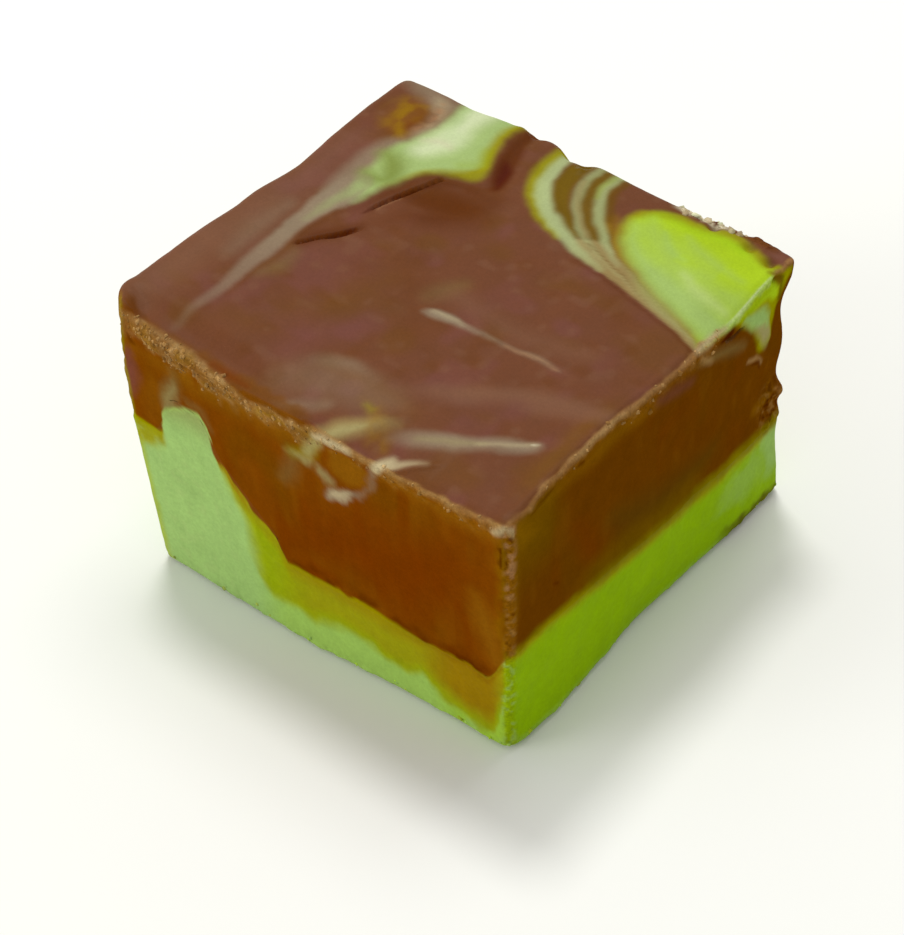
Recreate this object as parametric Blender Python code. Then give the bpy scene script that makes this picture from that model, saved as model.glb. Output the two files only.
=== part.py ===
"""A square of chocolate and mint fudge, cut by hand from a slab of two poured layers.

Metres, +Z up. The origin is the middle of the base. The square stands on its flat base with
the marbled top up. Sizes in the tables are millimetres in the block's own coordinates: x from
the left side, y from the front side and z from the base.
"""

import math

import bmesh
import bpy
from mathutils import Vector, noise

MM = 0.001

# The true block that the knife aimed at, and how sharp its edges are.
WIDTH = 34.6
DEPTH = 33.4
HEIGHT = 24.6
EDGE_RADIUS = 0.9
LAYER_GAP = 0.3

# Cells of the mesh along the three directions.
CELLS_X = 26
CELLS_Y = 22
CHOCOLATE_ROWS = 6
MINT_ROWS = 5

# The mint layer's top: a level pour, a bank of it pushed up against the left side, and a
# finger of mint that stands on the bank at the front.
MINT_LEVEL = 7.75
RIGHT_SIDE_LEVEL = 10.6
RIGHT_SIDE_FALL = 0.08
RIGHT_SIDE_REACH = 2.0
BANK_HEIGHT = 6.3
BANK_SLOPE = 0.8
BANK_SHOULDER = 9.3
BANK_FOOT = (13.4, 14.6)
BANK_KEPT_AT_BACK = 0.25
FINGER_HEIGHT = 4.0
FINGER_AT = 6.1
FINGER_HALF_WIDTH = 2.6
FINGER_LENGTH = 7.0
POUR_WAVE = 0.3
POUR_WAVE_LENGTH = 9.0

# How far each corner of the cut square lies off the true block: (side, end, level) to shift.
CORNER_SHIFTS = {
    ("left", "front", "base"): (0.9, -0.4, 0.0),
    ("right", "front", "base"): (-1.1, 0.5, 0.0),
    ("right", "back", "base"): (0.0, 0.1, 0.0),
    ("left", "back", "base"): (0.1, 0.0, 0.0),
    ("left", "front", "top"): (-0.9, 0.3, 0.5),
    ("right", "front", "top"): (0.0, -0.4, -0.3),
    ("right", "back", "top"): (0.2, -0.1, -0.4),
    ("left", "back", "top"): (-0.5, -0.3, 0.2),
}

# What the knife and the fingers did to the square: middle, reach each way, and push.
PUSHES = {
    "front edge sags where the knife went in": ((9.0, 0.0, 24.6), (7.0, 2.0, 2.4), (0.0, -0.2, -1.2)),
    "front edge sags a little further on": ((24.0, 0.0, 24.6), (7.0, 1.8, 2.0), (0.0, -0.1, -0.7)),
    "right edge stands up near the front": ((34.6, 8.0, 24.6), (1.6, 7.0, 2.0), (-0.2, 0.0, 0.7)),
    "right edge dips near the back": ((34.6, 25.0, 24.6), (2.0, 3.6, 2.2), (-0.1, 0.0, -0.9)),
    "left edge full near the front": ((0.0, 5.0, 24.6), (2.0, 5.0, 4.0), (-0.4, 0.0, 0.0)),
    "left edge pinched past half way": ((0.0, 20.0, 24.6), (2.5, 4.5, 4.0), (0.5, 0.0, -0.1)),
    "back edge low beside the corner": ((5.0, 33.4, 24.6), (3.5, 1.6, 2.0), (0.0, -0.1, -0.3)),
    "chip in the back edge": ((15.8, 33.4, 24.6), (1.3, 1.2, 1.6), (0.0, -0.7, -0.5)),
    "back edge worn down": ((25.0, 33.4, 24.6), (8.0, 2.0, 2.5), (0.0, -0.3, -0.35)),
    "waist in the right back corner": ((34.6, 33.4, 13.5), (3.0, 4.0, 3.2), (-0.7, -0.3, 0.0)),
    "bump on the right back corner": ((34.6, 32.4, 11.3), (1.2, 2.2, 1.0), (0.55, 0.0, 0.0)),
    "hollow in the right back corner": ((34.6, 33.4, 6.5), (2.0, 3.0, 2.5), (-0.4, -0.2, 0.0)),
    "left front corner worn round": ((0.0, 0.0, 24.6), (2.2, 2.2, 3.2), (0.3, 0.7, 0.1)),
    "belly in the left front corner": ((0.0, 0.0, 13.0), (3.0, 3.0, 7.0), (-0.2, -0.1, 0.0)),
    "front foot spreads": ((15.0, 0.0, 0.0), (8.0, 2.5, 3.5), (0.0, -0.4, 0.0)),
    "right foot spreads": ((34.6, 5.0, 0.0), (2.5, 5.0, 3.5), (0.4, 0.0, 0.0)),
    "right foot tucked in": ((34.6, 16.5, 0.0), (2.5, 5.0, 3.5), (-0.35, 0.0, 0.0)),
    "chocolate bulges over the front": ((19.0, 0.0, 15.0), (9.0, 3.0, 5.0), (0.0, -0.3, 0.0)),
}
FLAT_BASE_HEIGHT = 1.0

# Soft unevenness of the whole skin.
SKIN_WAVE = 0.12
SKIN_WAVE_LENGTH = 5.0
WAVE_PLACES = (Vector((0.0, 0.0, 0.0)), Vector((31.0, 7.0, 3.0)), Vector((5.0, 47.0, 11.0)))

# Colours and surface of the two fudges.
CHOCOLATE_COLOUR = (0.13, 0.042, 0.012, 1.0)
MINT_COLOUR = (0.29, 0.51, 0.09, 1.0)
FUDGE_ROUGHNESS = 0.55


def smooth_step(low, high, value):
    """0 below low, 1 above high, and a smooth rise between them."""
    share = min(max((value - low) / (high - low), 0.0), 1.0)
    return share * share * (3.0 - 2.0 * share)


def mint_top(x, y):
    """Height of the mint layer's top above the base."""
    level = MINT_LEVEL + POUR_WAVE * noise.noise(Vector((x, y, 3.0)) / POUR_WAVE_LENGTH)

    right_level = RIGHT_SIDE_LEVEL - RIGHT_SIDE_FALL * max(y - 4.0, 0.0)
    level += (right_level - level) * smooth_step(WIDTH - RIGHT_SIDE_REACH, WIDTH, x)

    bank = BANK_HEIGHT - BANK_SLOPE * max(x - BANK_SHOULDER, 0.0)
    bank *= 1.0 - smooth_step(*BANK_FOOT, x)
    bank *= 1.0 - (1.0 - BANK_KEPT_AT_BACK) * smooth_step(0.0, 0.9 * DEPTH, y)

    finger = FINGER_HEIGHT * math.exp(-(((x - FINGER_AT) / FINGER_HALF_WIDTH) ** 4))
    finger *= math.exp(-((y / FINGER_LENGTH) ** 2))
    return level + bank + finger


def round_edges(point):
    """Turn the sharp edges and corners of the true block into round ones."""
    middle = Vector((WIDTH / 2, DEPTH / 2, HEIGHT / 2))
    offset = point - middle
    inner = middle - Vector((EDGE_RADIUS,) * 3)
    excess = Vector([max(abs(offset[axis]) - inner[axis], 0.0) for axis in range(3)])
    if excess.length == 0.0:
        return point
    excess *= max(excess) / excess.length
    for axis in range(3):
        if excess[axis] > 0.0:
            offset[axis] = math.copysign(inner[axis] + excess[axis], offset[axis])
    return middle + offset


def corner_shift(point):
    """The pull of the eight displaced corners on a point of the block."""
    share = {
        "left": 1.0 - point.x / WIDTH,
        "right": point.x / WIDTH,
        "front": 1.0 - point.y / DEPTH,
        "back": point.y / DEPTH,
        "base": 1.0 - point.z / HEIGHT,
        "top": point.z / HEIGHT,
    }
    shift = Vector((0.0, 0.0, 0.0))
    for (side, end, level), corner in CORNER_SHIFTS.items():
        shift += Vector(corner) * (share[side] * share[end] * share[level])
    return shift


def hand_push(point):
    """The sum of the dents and bulges at a point of the block."""
    total = Vector((0.0, 0.0, 0.0))
    for middle, reach, push in PUSHES.values():
        distance = sum(((point[axis] - middle[axis]) / reach[axis]) ** 2 for axis in range(3))
        total += Vector(push) * math.exp(-distance)
    return total


def skin_wave(point):
    """A soft wander of the skin: one smooth noise for each direction, read at three places."""
    place = point / SKIN_WAVE_LENGTH
    return SKIN_WAVE * Vector([noise.noise(place + apart) for apart in WAVE_PLACES])


def as_cut(point):
    """Where a point of the true block lies on the square as it was cut."""
    moved = round_edges(point)
    push = corner_shift(point) + hand_push(point) + skin_wave(point)
    push.z *= min(moved.z / FLAT_BASE_HEIGHT, 1.0)
    return moved + push


def lines_across(length, cells):
    """Places of the mesh lines across the block: two narrow cells round each edge."""
    half_round = (1.0 - math.tan(math.pi / 8)) * EDGE_RADIUS
    even = (length - 2 * EDGE_RADIUS) / (cells - 4)
    between = [EDGE_RADIUS + even * step for step in range(cells - 3)]
    return [0.0, half_round] + between + [length - half_round, length]


def chocolate_height(row, x, y):
    """Height of a row of the chocolate layer, from its underside to its round top edge."""
    half_round = (1.0 - math.tan(math.pi / 8)) * EDGE_RADIUS
    underside = mint_top(x, y) + LAYER_GAP / 2
    if row >= CHOCOLATE_ROWS - 1:
        return HEIGHT - half_round * (CHOCOLATE_ROWS - row)
    return underside + (HEIGHT - EDGE_RADIUS - underside) * row / (CHOCOLATE_ROWS - 2)


def mint_height(row, x, y):
    """Height of a row of the mint layer, from its flat base up to the chocolate."""
    half_round = (1.0 - math.tan(math.pi / 8)) * EDGE_RADIUS
    if row <= 1:
        return half_round * row
    top = mint_top(x, y) - LAYER_GAP / 2
    return EDGE_RADIUS + (top - EDGE_RADIUS) * (row - 2) / (MINT_ROWS - 2)


def cut_into_cells(mesh, counts):
    """Cut a unit cube's skin into the given number of cells along X, Y and Z."""
    for axis, count in enumerate(counts):
        along = []
        for edge in mesh.edges:
            run = edge.verts[1].co - edge.verts[0].co
            if abs(run[axis]) > 0.9 * run.length:
                along.append(edge)
        bmesh.ops.subdivide_edges(mesh, edges=along, cuts=count - 1, use_grid_fill=True)


def build_layer(name, rows, row_height, colour):
    """One poured layer: a box cut into cells, and each point put where it lies when cut."""
    lines_x = lines_across(WIDTH, CELLS_X)
    lines_y = lines_across(DEPTH, CELLS_Y)
    layer = bmesh.new()
    bmesh.ops.create_cube(layer, size=1.0)
    cut_into_cells(layer, (CELLS_X, CELLS_Y, rows))
    for vertex in layer.verts:
        x = lines_x[round((vertex.co.x + 0.5) * CELLS_X)]
        y = lines_y[round((vertex.co.y + 0.5) * CELLS_Y)]
        row = round((vertex.co.z + 0.5) * rows)
        vertex.co = as_cut(Vector((x, y, row_height(row, x, y)))) * MM
    bmesh.ops.triangulate(layer, faces=layer.faces)
    bmesh.ops.recalc_face_normals(layer, faces=layer.faces)

    data = bpy.data.meshes.new(name)
    layer.to_mesh(data)
    layer.free()
    data.shade_smooth()
    piece = bpy.data.objects.new(name, data)
    bpy.context.scene.collection.objects.link(piece)
    piece.data.materials.append(fudge_material(name, colour))
    return piece


def fudge_material(name, colour):
    """A fudge's own colour on a dull, slightly greasy surface."""
    material = bpy.data.materials.new(name)
    material.use_nodes = True
    shader = material.node_tree.nodes["Principled BSDF"]
    shader.inputs["Base Color"].default_value = colour
    shader.inputs["Roughness"].default_value = FUDGE_ROUGHNESS
    shader.inputs["Metallic"].default_value = 0.0
    return material


def stand_on_origin(pieces):
    """Move the pieces together so that the middle of their base is the origin."""
    points = [vertex.co for piece in pieces for vertex in piece.data.vertices]
    low = [min(point[axis] for point in points) for axis in range(3)]
    high = [max(point[axis] for point in points) for axis in range(3)]
    middle = Vector(((low[0] + high[0]) / 2, (low[1] + high[1]) / 2, low[2]))
    for point in points:
        point -= middle


def main():
    for old in list(bpy.data.objects):
        bpy.data.objects.remove(old)
    mint = build_layer("mint_layer", MINT_ROWS, mint_height, MINT_COLOUR)
    chocolate = build_layer("chocolate_layer", CHOCOLATE_ROWS, chocolate_height, CHOCOLATE_COLOUR)
    stand_on_origin([mint, chocolate])


main()
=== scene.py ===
import math

import bpy
import numpy as np
from mathutils import Matrix, Vector, noise


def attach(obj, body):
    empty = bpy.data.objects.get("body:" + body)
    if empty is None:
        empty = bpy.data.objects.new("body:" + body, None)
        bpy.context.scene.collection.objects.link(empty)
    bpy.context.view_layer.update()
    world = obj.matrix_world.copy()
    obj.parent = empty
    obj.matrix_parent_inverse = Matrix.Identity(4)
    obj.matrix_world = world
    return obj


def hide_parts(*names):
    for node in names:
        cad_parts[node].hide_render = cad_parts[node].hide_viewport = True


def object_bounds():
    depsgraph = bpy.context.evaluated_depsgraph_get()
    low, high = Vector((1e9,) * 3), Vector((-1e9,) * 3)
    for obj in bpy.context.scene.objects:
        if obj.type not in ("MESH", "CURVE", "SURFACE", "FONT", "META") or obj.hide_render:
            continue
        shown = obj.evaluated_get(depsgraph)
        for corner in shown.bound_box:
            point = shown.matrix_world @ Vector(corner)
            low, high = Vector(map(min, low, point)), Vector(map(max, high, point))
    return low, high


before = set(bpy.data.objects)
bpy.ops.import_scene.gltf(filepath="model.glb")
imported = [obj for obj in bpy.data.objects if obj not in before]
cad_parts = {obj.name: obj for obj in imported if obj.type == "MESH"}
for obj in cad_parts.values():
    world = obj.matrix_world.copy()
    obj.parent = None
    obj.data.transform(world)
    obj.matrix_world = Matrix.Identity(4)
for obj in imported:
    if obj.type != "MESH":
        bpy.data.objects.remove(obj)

mm = 0.001
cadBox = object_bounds()
print("frame loaded:", ", ".join(sorted(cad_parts)))

# The square of fudge before the knife bent it, in mm: x from the left side, y from the front
# side, z from the base. Marks further down are placed in these block coordinates.
block = {
    "size": (34.6, 33.4, 24.6),
    "edgeRadius": 0.9,
    "cells": (24, 23),       # first cuts across and along, then each skin cell is cut finer
    "chocolateRows": 10,
    "mintRows": 8,
    "finer": 8,
    "flatBase": 1.0,         # below this height nothing moves up or down
    "skinWave": 0.12,
    "skinWaveLength": 5.0,
    "wavePlaces": ((0, 0, 0), (31, 7, 3), (5, 47, 11)),
    "smoothAngle": 60,
    "skinFacing": 0.7,       # faces that look up at least this much have the poured skin
}
width, depth, height = block["size"]

# How far each corner lies off the true block (mm), left or right, front or back, base or top.
cornerShifts = {
    (0, 0, 0): (0.9, -0.4, 0),
    (1, 0, 0): (-1.1, 0.5, 0),
    (1, 1, 0): (0, 0.1, 0),
    (0, 1, 0): (0.1, 0, 0),
    (0, 0, 1): (-0.9, 0.3, 0.5),
    (1, 0, 1): (0, -0.4, -0.3),
    (1, 1, 1): (0.2, -0.1, -0.4),
    (0, 1, 1): (-0.5, -0.3, 0.2),
}

# Dents and bulges left by the knife and the fingers: middle, reach each way and push (mm).
pushes = {
    "front edge sags": ((9, 0, 24.6), (7, 2, 2.4), (0, -0.2, -1.2)),
    "front edge sags further on": ((24, 0, 24.6), (7, 1.8, 2), (0, -0.1, -0.7)),
    "right edge stands up": ((34.6, 8, 24.6), (1.6, 7, 2), (-0.2, 0, 0.7)),
    "right edge dips": ((34.6, 25, 24.6), (2, 3.6, 2.2), (-0.1, 0, -0.9)),
    "left edge full": ((0, 5, 24.6), (2, 5, 4), (-0.4, 0, 0)),
    "left edge pinched": ((0, 20, 24.6), (2.5, 4.5, 4), (0.5, 0, -0.1)),
    "back edge low": ((5, 33.4, 24.6), (3.5, 1.6, 2), (0, -0.1, -0.3)),
    "back edge chip": ((15.8, 33.4, 24.6), (1.3, 1.2, 1.6), (0, -0.7, -0.5)),
    "back edge worn": ((25, 33.4, 24.6), (8, 2, 2.5), (0, -0.3, -0.35)),
    "back corner waist": ((34.6, 33.4, 13.5), (3, 4, 3.2), (-0.7, -0.3, 0)),
    "back corner bump": ((34.6, 32.4, 11.3), (1.2, 2.2, 1), (0.55, 0, 0)),
    "back corner hollow": ((34.6, 33.4, 6.5), (2, 3, 2.5), (-0.4, -0.2, 0)),
    "left corner worn": ((0, 0, 24.6), (2.2, 2.2, 3.2), (0.3, 0.7, 0.1)),
    "left corner belly": ((0, 0, 13), (3, 3, 7), (-0.2, -0.1, 0)),
    "front foot": ((15, 0, 0), (8, 2.5, 3.5), (0, -0.4, 0)),
    "right foot": ((34.6, 5, 0), (2.5, 5, 3.5), (0.4, 0, 0)),
    "right foot tucked": ((34.6, 16.5, 0), (2.5, 5, 3.5), (-0.35, 0, 0)),
    "front belly": ((19, 0, 15), (9, 3, 5), (0, -0.3, 0)),
}

# The mint layer's top: a level pour, a bank against the left side and a finger at the front.
mintPour = {
    "level": 7.75, "wave": 0.3, "waveLength": 9,
    "rightLevel": 10.6, "rightFall": 0.08, "rightReach": 2,
    "bankHeight": 6.3, "bankSlope": 0.8, "bankShoulder": 9.3, "bankFoot": (13.4, 14.6), "bankAtBack": 0.25,
    "fingerHeight": 4, "fingerAt": 6.1, "fingerHalfWidth": 2.6, "fingerLength": 7,
}


def ramp(low, high, value):
    # 0 up to low, 1 from high on and smooth between; it falls when low is the greater one
    share = np.clip((value - low) / (high - low), 0.0, 1.0)
    return share * share * (3.0 - 2.0 * share)


def skinNoise(points, length, apart=(0, 0, 0)):
    # the same smooth noise as the solids have
    away = Vector(apart)
    return np.array([noise.noise(Vector(point) / length + away) for point in points])


def grain(points, size, seed):
    # random heights from -1 to 1 on a lattice of cells a size (mm) wide, blended smoothly
    lattice = np.random.default_rng(seed).uniform(-1.0, 1.0, (64, 64, 64))
    place = np.asarray(points) / size + 500.0
    cell = np.floor(place).astype(int)
    share = place - cell
    share = share * share * (3.0 - 2.0 * share)
    total = np.zeros(len(place))
    for corner in range(8):
        step = np.array([corner & 1, corner >> 1 & 1, corner >> 2 & 1])
        at = (cell + step) % 64
        total += lattice[at[:, 0], at[:, 1], at[:, 2]] * np.prod(np.where(step, share, 1.0 - share), axis=1)
    return total


# What makes skins and borders uneven: strength (mm), size (mm) and seed of each grain.
unevenness = {
    "border": ((0.16, 0.8, 31), (0.2, 2.2, 32)),
    "pale clouds": ((0.9, 1.4, 36), (0.4, 0.6, 37)),
    "far foot": ((0.5, 1.0, 37), (0.3, 0.5, 38)),
    "edges": ((0.3, 0.7, 51), (0.2, 2.0, 52)),
    "poured skin": ((0.1, 5.0, 71), (0.05, 2.2, 72), (0.012, 0.7, 73)),
    "cut skin": ((0.08, 3.2, 74), (0.02, 0.6, 76)),
    "upright drags": ((0.03, 0.55, 75),),
    "crumbs": ((0.16, 0.8, 81), (0.1, 0.42, 82)),
}


def uneven(points, name):
    return sum(strength * grain(points, size, seed) for strength, size, seed in unevenness[name])


def stretched(points, share):
    # points for a grain that is drawn out upright, as the knife leaves it
    return points * np.array((1.0, 1.0, share))


def mintTop(x, y):
    pour = mintPour
    places = np.column_stack((x, y, np.full(len(x), 3.0)))
    level = pour["level"] + pour["wave"] * skinNoise(places, pour["waveLength"])
    rightLevel = pour["rightLevel"] - pour["rightFall"] * np.maximum(y - 4.0, 0.0)
    level += (rightLevel - level) * ramp(width - pour["rightReach"], width, x)
    bank = pour["bankHeight"] - pour["bankSlope"] * np.maximum(x - pour["bankShoulder"], 0.0)
    bank *= 1.0 - ramp(*pour["bankFoot"], x)
    bank *= 1.0 - (1.0 - pour["bankAtBack"]) * ramp(0.0, 0.9 * depth, y)
    finger = pour["fingerHeight"] * np.exp(-((x - pour["fingerAt"]) / pour["fingerHalfWidth"]) ** 4)
    finger *= np.exp(-(y / pour["fingerLength"]) ** 2)
    return level + bank + finger


def roundEdges(points):
    # the block with round edges, and the direction that is out of it at each point
    middle = np.array(block["size"]) / 2
    inner = middle - block["edgeRadius"]
    offset = points - middle
    excess = np.maximum(np.abs(offset) - inner, 0.0)
    length = np.maximum(np.linalg.norm(excess, axis=1, keepdims=True), 1e-9)
    outward = np.sign(offset) * excess / length
    excess *= excess.max(axis=1, keepdims=True) / length
    return middle + np.sign(offset) * (np.minimum(np.abs(offset), inner) + excess), outward


def asCut(points):
    # where points of the true block lie once the square is cut, and which way is out
    moved, outward = roundEdges(points)
    share = points / np.array(block["size"])
    push = np.zeros_like(points)
    for corner, shift in cornerShifts.items():
        weight = np.prod([share[:, i] if corner[i] else 1.0 - share[:, i] for i in range(3)], axis=0)
        push += weight[:, None] * np.array(shift)
    for middle, reach, amount in pushes.values():
        distance = (((points - np.array(middle)) / np.array(reach)) ** 2).sum(axis=1)
        push += np.exp(-distance)[:, None] * np.array(amount)
    for axis, apart in enumerate(block["wavePlaces"]):
        push[:, axis] += block["skinWave"] * skinNoise(points, block["skinWaveLength"], apart)
    push[:, 2] *= np.minimum(moved[:, 2] / block["flatBase"], 1.0)
    return moved + push, outward


def startLayer(name, rows, wideSides):
    # a cube of one unit, cut along X, Y and Z with Subdivide, then once more over the skin
    # only: the sides that are never seen keep their wide cells
    bpy.ops.object.select_all(action="DESELECT")
    bpy.ops.mesh.primitive_cube_add(size=1.0, location=(0.5, 0.5, 0.5))
    piece = bpy.context.object
    piece.name = name
    bpy.ops.object.transform_apply(location=True, rotation=False, scale=False)
    bpy.ops.object.mode_set(mode="EDIT")
    bpy.ops.mesh.select_mode(type="EDGE")
    for axis, count in enumerate((*block["cells"], rows)):
        bpy.ops.mesh.select_all(action="DESELECT")
        bpy.ops.object.mode_set(mode="OBJECT")
        for edge in piece.data.edges:
            start, end = (piece.data.vertices[i].co for i in edge.vertices)
            edge.select = abs((end - start)[axis]) > 0.9 * (end - start).length
        bpy.ops.object.mode_set(mode="EDIT")
        bpy.ops.mesh.subdivide(number_cuts=count - 1)
    bpy.ops.mesh.select_mode(type="FACE")
    bpy.ops.mesh.select_all(action="DESELECT")
    bpy.ops.object.mode_set(mode="OBJECT")
    for face in piece.data.polygons:
        face.select = face.normal.z > -0.5 if wideSides == "below" else abs(face.normal.z) < 0.5
    bpy.ops.object.mode_set(mode="EDIT")
    bpy.ops.mesh.subdivide(number_cuts=block["finer"] - 1, ngon=True)
    bpy.ops.object.mode_set(mode="OBJECT")
    return piece


def readPoints(piece):
    flat = np.empty(len(piece.data.vertices) * 3)
    piece.data.vertices.foreach_get("co", flat)
    return flat.reshape(-1, 3)


def writePoints(piece, points):
    piece.data.vertices.foreach_set("co", np.asarray(points, dtype=np.float32).ravel())
    piece.data.update()


def writeField(piece, name, values):
    kind, key = ("FLOAT_COLOR", "color") if values.ndim == 2 else ("FLOAT", "value")
    if values.ndim == 2:
        values = np.column_stack((values, np.ones(len(values))))
    piece.data.attributes.new(name, kind, "POINT").data.foreach_set(key, values.astype(np.float32).ravel())


def linear(hexColour):
    # sRGB hex to the linear numbers that shaders mix
    parts = [int(hexColour[i:i + 2], 16) / 255 for i in (1, 3, 5)]
    return np.array([p / 12.92 if p <= 0.04045 else ((p + 0.055) / 1.055) ** 2.4 for p in parts])


palette = {
    # poured top of the chocolate, a little pale and pink: partly a dry skin, partly painted sheen
    "skin": "#6e4128", "skinPale": "#7b533b", "skinPink": "#774640", "skinWarm": "#683a10",
    "skinOlive": "#6b430f",
    # chocolate where the knife went through, oily and deeper, some of it smeared with mint; pit is painted
    # shade in holes, slits, creases and between crumbs
    "cut": "#763d02", "cutRed": "#713200", "cutRight": "#6a3b01", "amberCut": "#86550a",
    "amberRight": "#8f6104", "pit": "#481500", "olive": "#684402", "oliveRight": "#6e5400",
    "oliveDark": "#56400a",
    # painted shade where the chocolate folds under itself and in a hollow of the ridge (the same dark browns
    # also mark a line under the tail and a band of the front face), and chocolate dragged thinly over mint
    "fold": "#5a2900", "foldHeart": "#4d1000", "amber": "#926c00", "smear": "#959200",
    "smearGreen": "#90a404",
    # mint, from the cut sides to the pool and the marbling of the top
    "mint": "#9abc6b", "mintVivid": "#9bc00e", "mintRight": "#8eb400", "mintEdge": "#9cab33",
    "mintPool": "#a6c41a", "mintShore": "#9db764", "flare": "#d0d9ac", "flareGreen": "#a0b66e",
    "flareOlive": "#808f42", "stripe": "#a9b67e", "tail": "#96804e",
    # mint wiped over the chocolate skin until it is almost gone
    "grey": "#8f7d64", "greyPale": "#a39a66", "cream": "#c0b087", "haze": "#7d6a3a",
    # crumbs that the knife pushed up; ridgePit is painted shade between them
    "ridge": "#936b35", "ridgeLight": "#ad8a58", "ridgePit": "#774d12", "valley": "#73440a",
    "ridgePink": "#a2754f", "sugar": "#cdc3a4",
}


def curveThrough(points, closed=False, steps=5):
    # a smooth curve through a mark's points; widths and strengths are carried along
    points = np.array(points, dtype=float)
    count = len(points)
    track = []
    for i in range(count if closed else count - 1):
        around = np.arange(i - 1, i + 3)
        before, start, end, after = points[around % count if closed else np.clip(around, 0, count - 1)]
        for t in np.arange(steps) / steps:
            track.append(0.5 * (2 * start + (end - before) * t
                                + (2 * before - 5 * start + 4 * end - after) * t ** 2
                                + (3 * start - before - 3 * end + after) * t ** 3))
    if not closed:
        track.append(points[-1])
    return np.array(track)


def nearest(u, v, start, end):
    # how far off a straight piece each place is (mm), and where along the piece it is nearest
    run = end[:2] - start[:2]
    share = np.clip(((u - start[0]) * run[0] + (v - start[1]) * run[1]) / (run @ run + 1e-12), 0.0, 1.0)
    return np.hypot(u - start[0] - share * run[0], v - start[1] - share * run[1]), share


def lineGap(u, v, points):
    # distance (mm) from the edge of a stroke, negative inside it, and the stroke's strength there
    track = curveThrough([tuple(p) + (1.0,) * (4 - len(p)) for p in points])
    gap, strength = np.full(len(u), 99.0), np.zeros(len(u))
    for start, end in zip(track[:-1], track[1:]):
        away, share = nearest(u, v, start, end)
        here = away - (start[2] + share * (end[2] - start[2]))
        nearer = here < gap
        gap = np.where(nearer, here, gap)
        strength = np.where(nearer, start[3] + share * (end[3] - start[3]), strength)
    return gap, strength


def patchGap(u, v, points):
    # distance (mm) from the outline of a closed patch, negative inside it
    track = curveThrough(points, closed=True)
    gap, inside = np.full(len(u), 99.0), np.zeros(len(u), dtype=bool)
    for start, end in zip(track, np.roll(track, -1, axis=0)):
        gap = np.minimum(gap, nearest(u, v, start, end)[0])
        if start[1] != end[1]:
            crosses = (start[1] > v) != (end[1] > v)
            inside ^= crosses & (u < start[0] + (v - start[1]) / (end[1] - start[1]) * (end[0] - start[0]))
    return np.where(inside, -gap, gap), np.ones(len(u))


def coverOf(mark, u, v):
    # how strongly a mark covers each place, 0 to 1
    soft, strength, points, more = (*mark[1:], {})[:4]
    rim = more.get("rim", 0.0)
    reach = np.array([point[:2] for point in points])
    low, high = reach.min(axis=0) - 2.5 - soft - rim, reach.max(axis=0) + 2.5 + soft + rim
    near = (u > low[0]) & (u < high[0]) & (v > low[1]) & (v < high[1])
    cover = np.zeros(len(u))
    if near.any():
        gapOf = lineGap if len(points[0]) > 2 else patchGap
        gap, held = gapOf(u[near], v[near], points)
        cover[near] = ramp(soft, -soft, gap - rim) * held * strength
        if "broken" in more:
            spots = grain(np.column_stack((u[near], v[near], 0 * u[near])), more["broken"], 91)
            cover[near] *= 0.3 + 0.7 * ramp(-0.5, 0.15, spots)
    return cover


def paint(colours, name, cover):
    colours += (linear(palette[name]) - colours) * np.clip(cover, 0.0, 1.0)[:, None]


def paintMarks(colours, marks, u, v, cover):
    for mark in marks.values():
        paint(colours, mark[0], coverOf(mark, u, v) * cover)


def paintRules(colours, rules, measures, points, where=1.0):
    # A rule is a colour, its strength and what it fades with: the name of a share from 0 to 1,
    # a measure's name with where it begins and is full, or a grain (size and seed) likewise.
    for colour, cover, *fades in rules:
        for fade in fades:
            if isinstance(fade, str):
                cover = cover * measures[fade]
            elif len(fade) == 3:
                cover = cover * ramp(fade[1], fade[2], measures[fade[0]])
            else:
                cover = cover * ramp(fade[2], fade[3], grain(points, fade[0], fade[1]))
        paint(colours, colour, cover * where)


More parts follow.
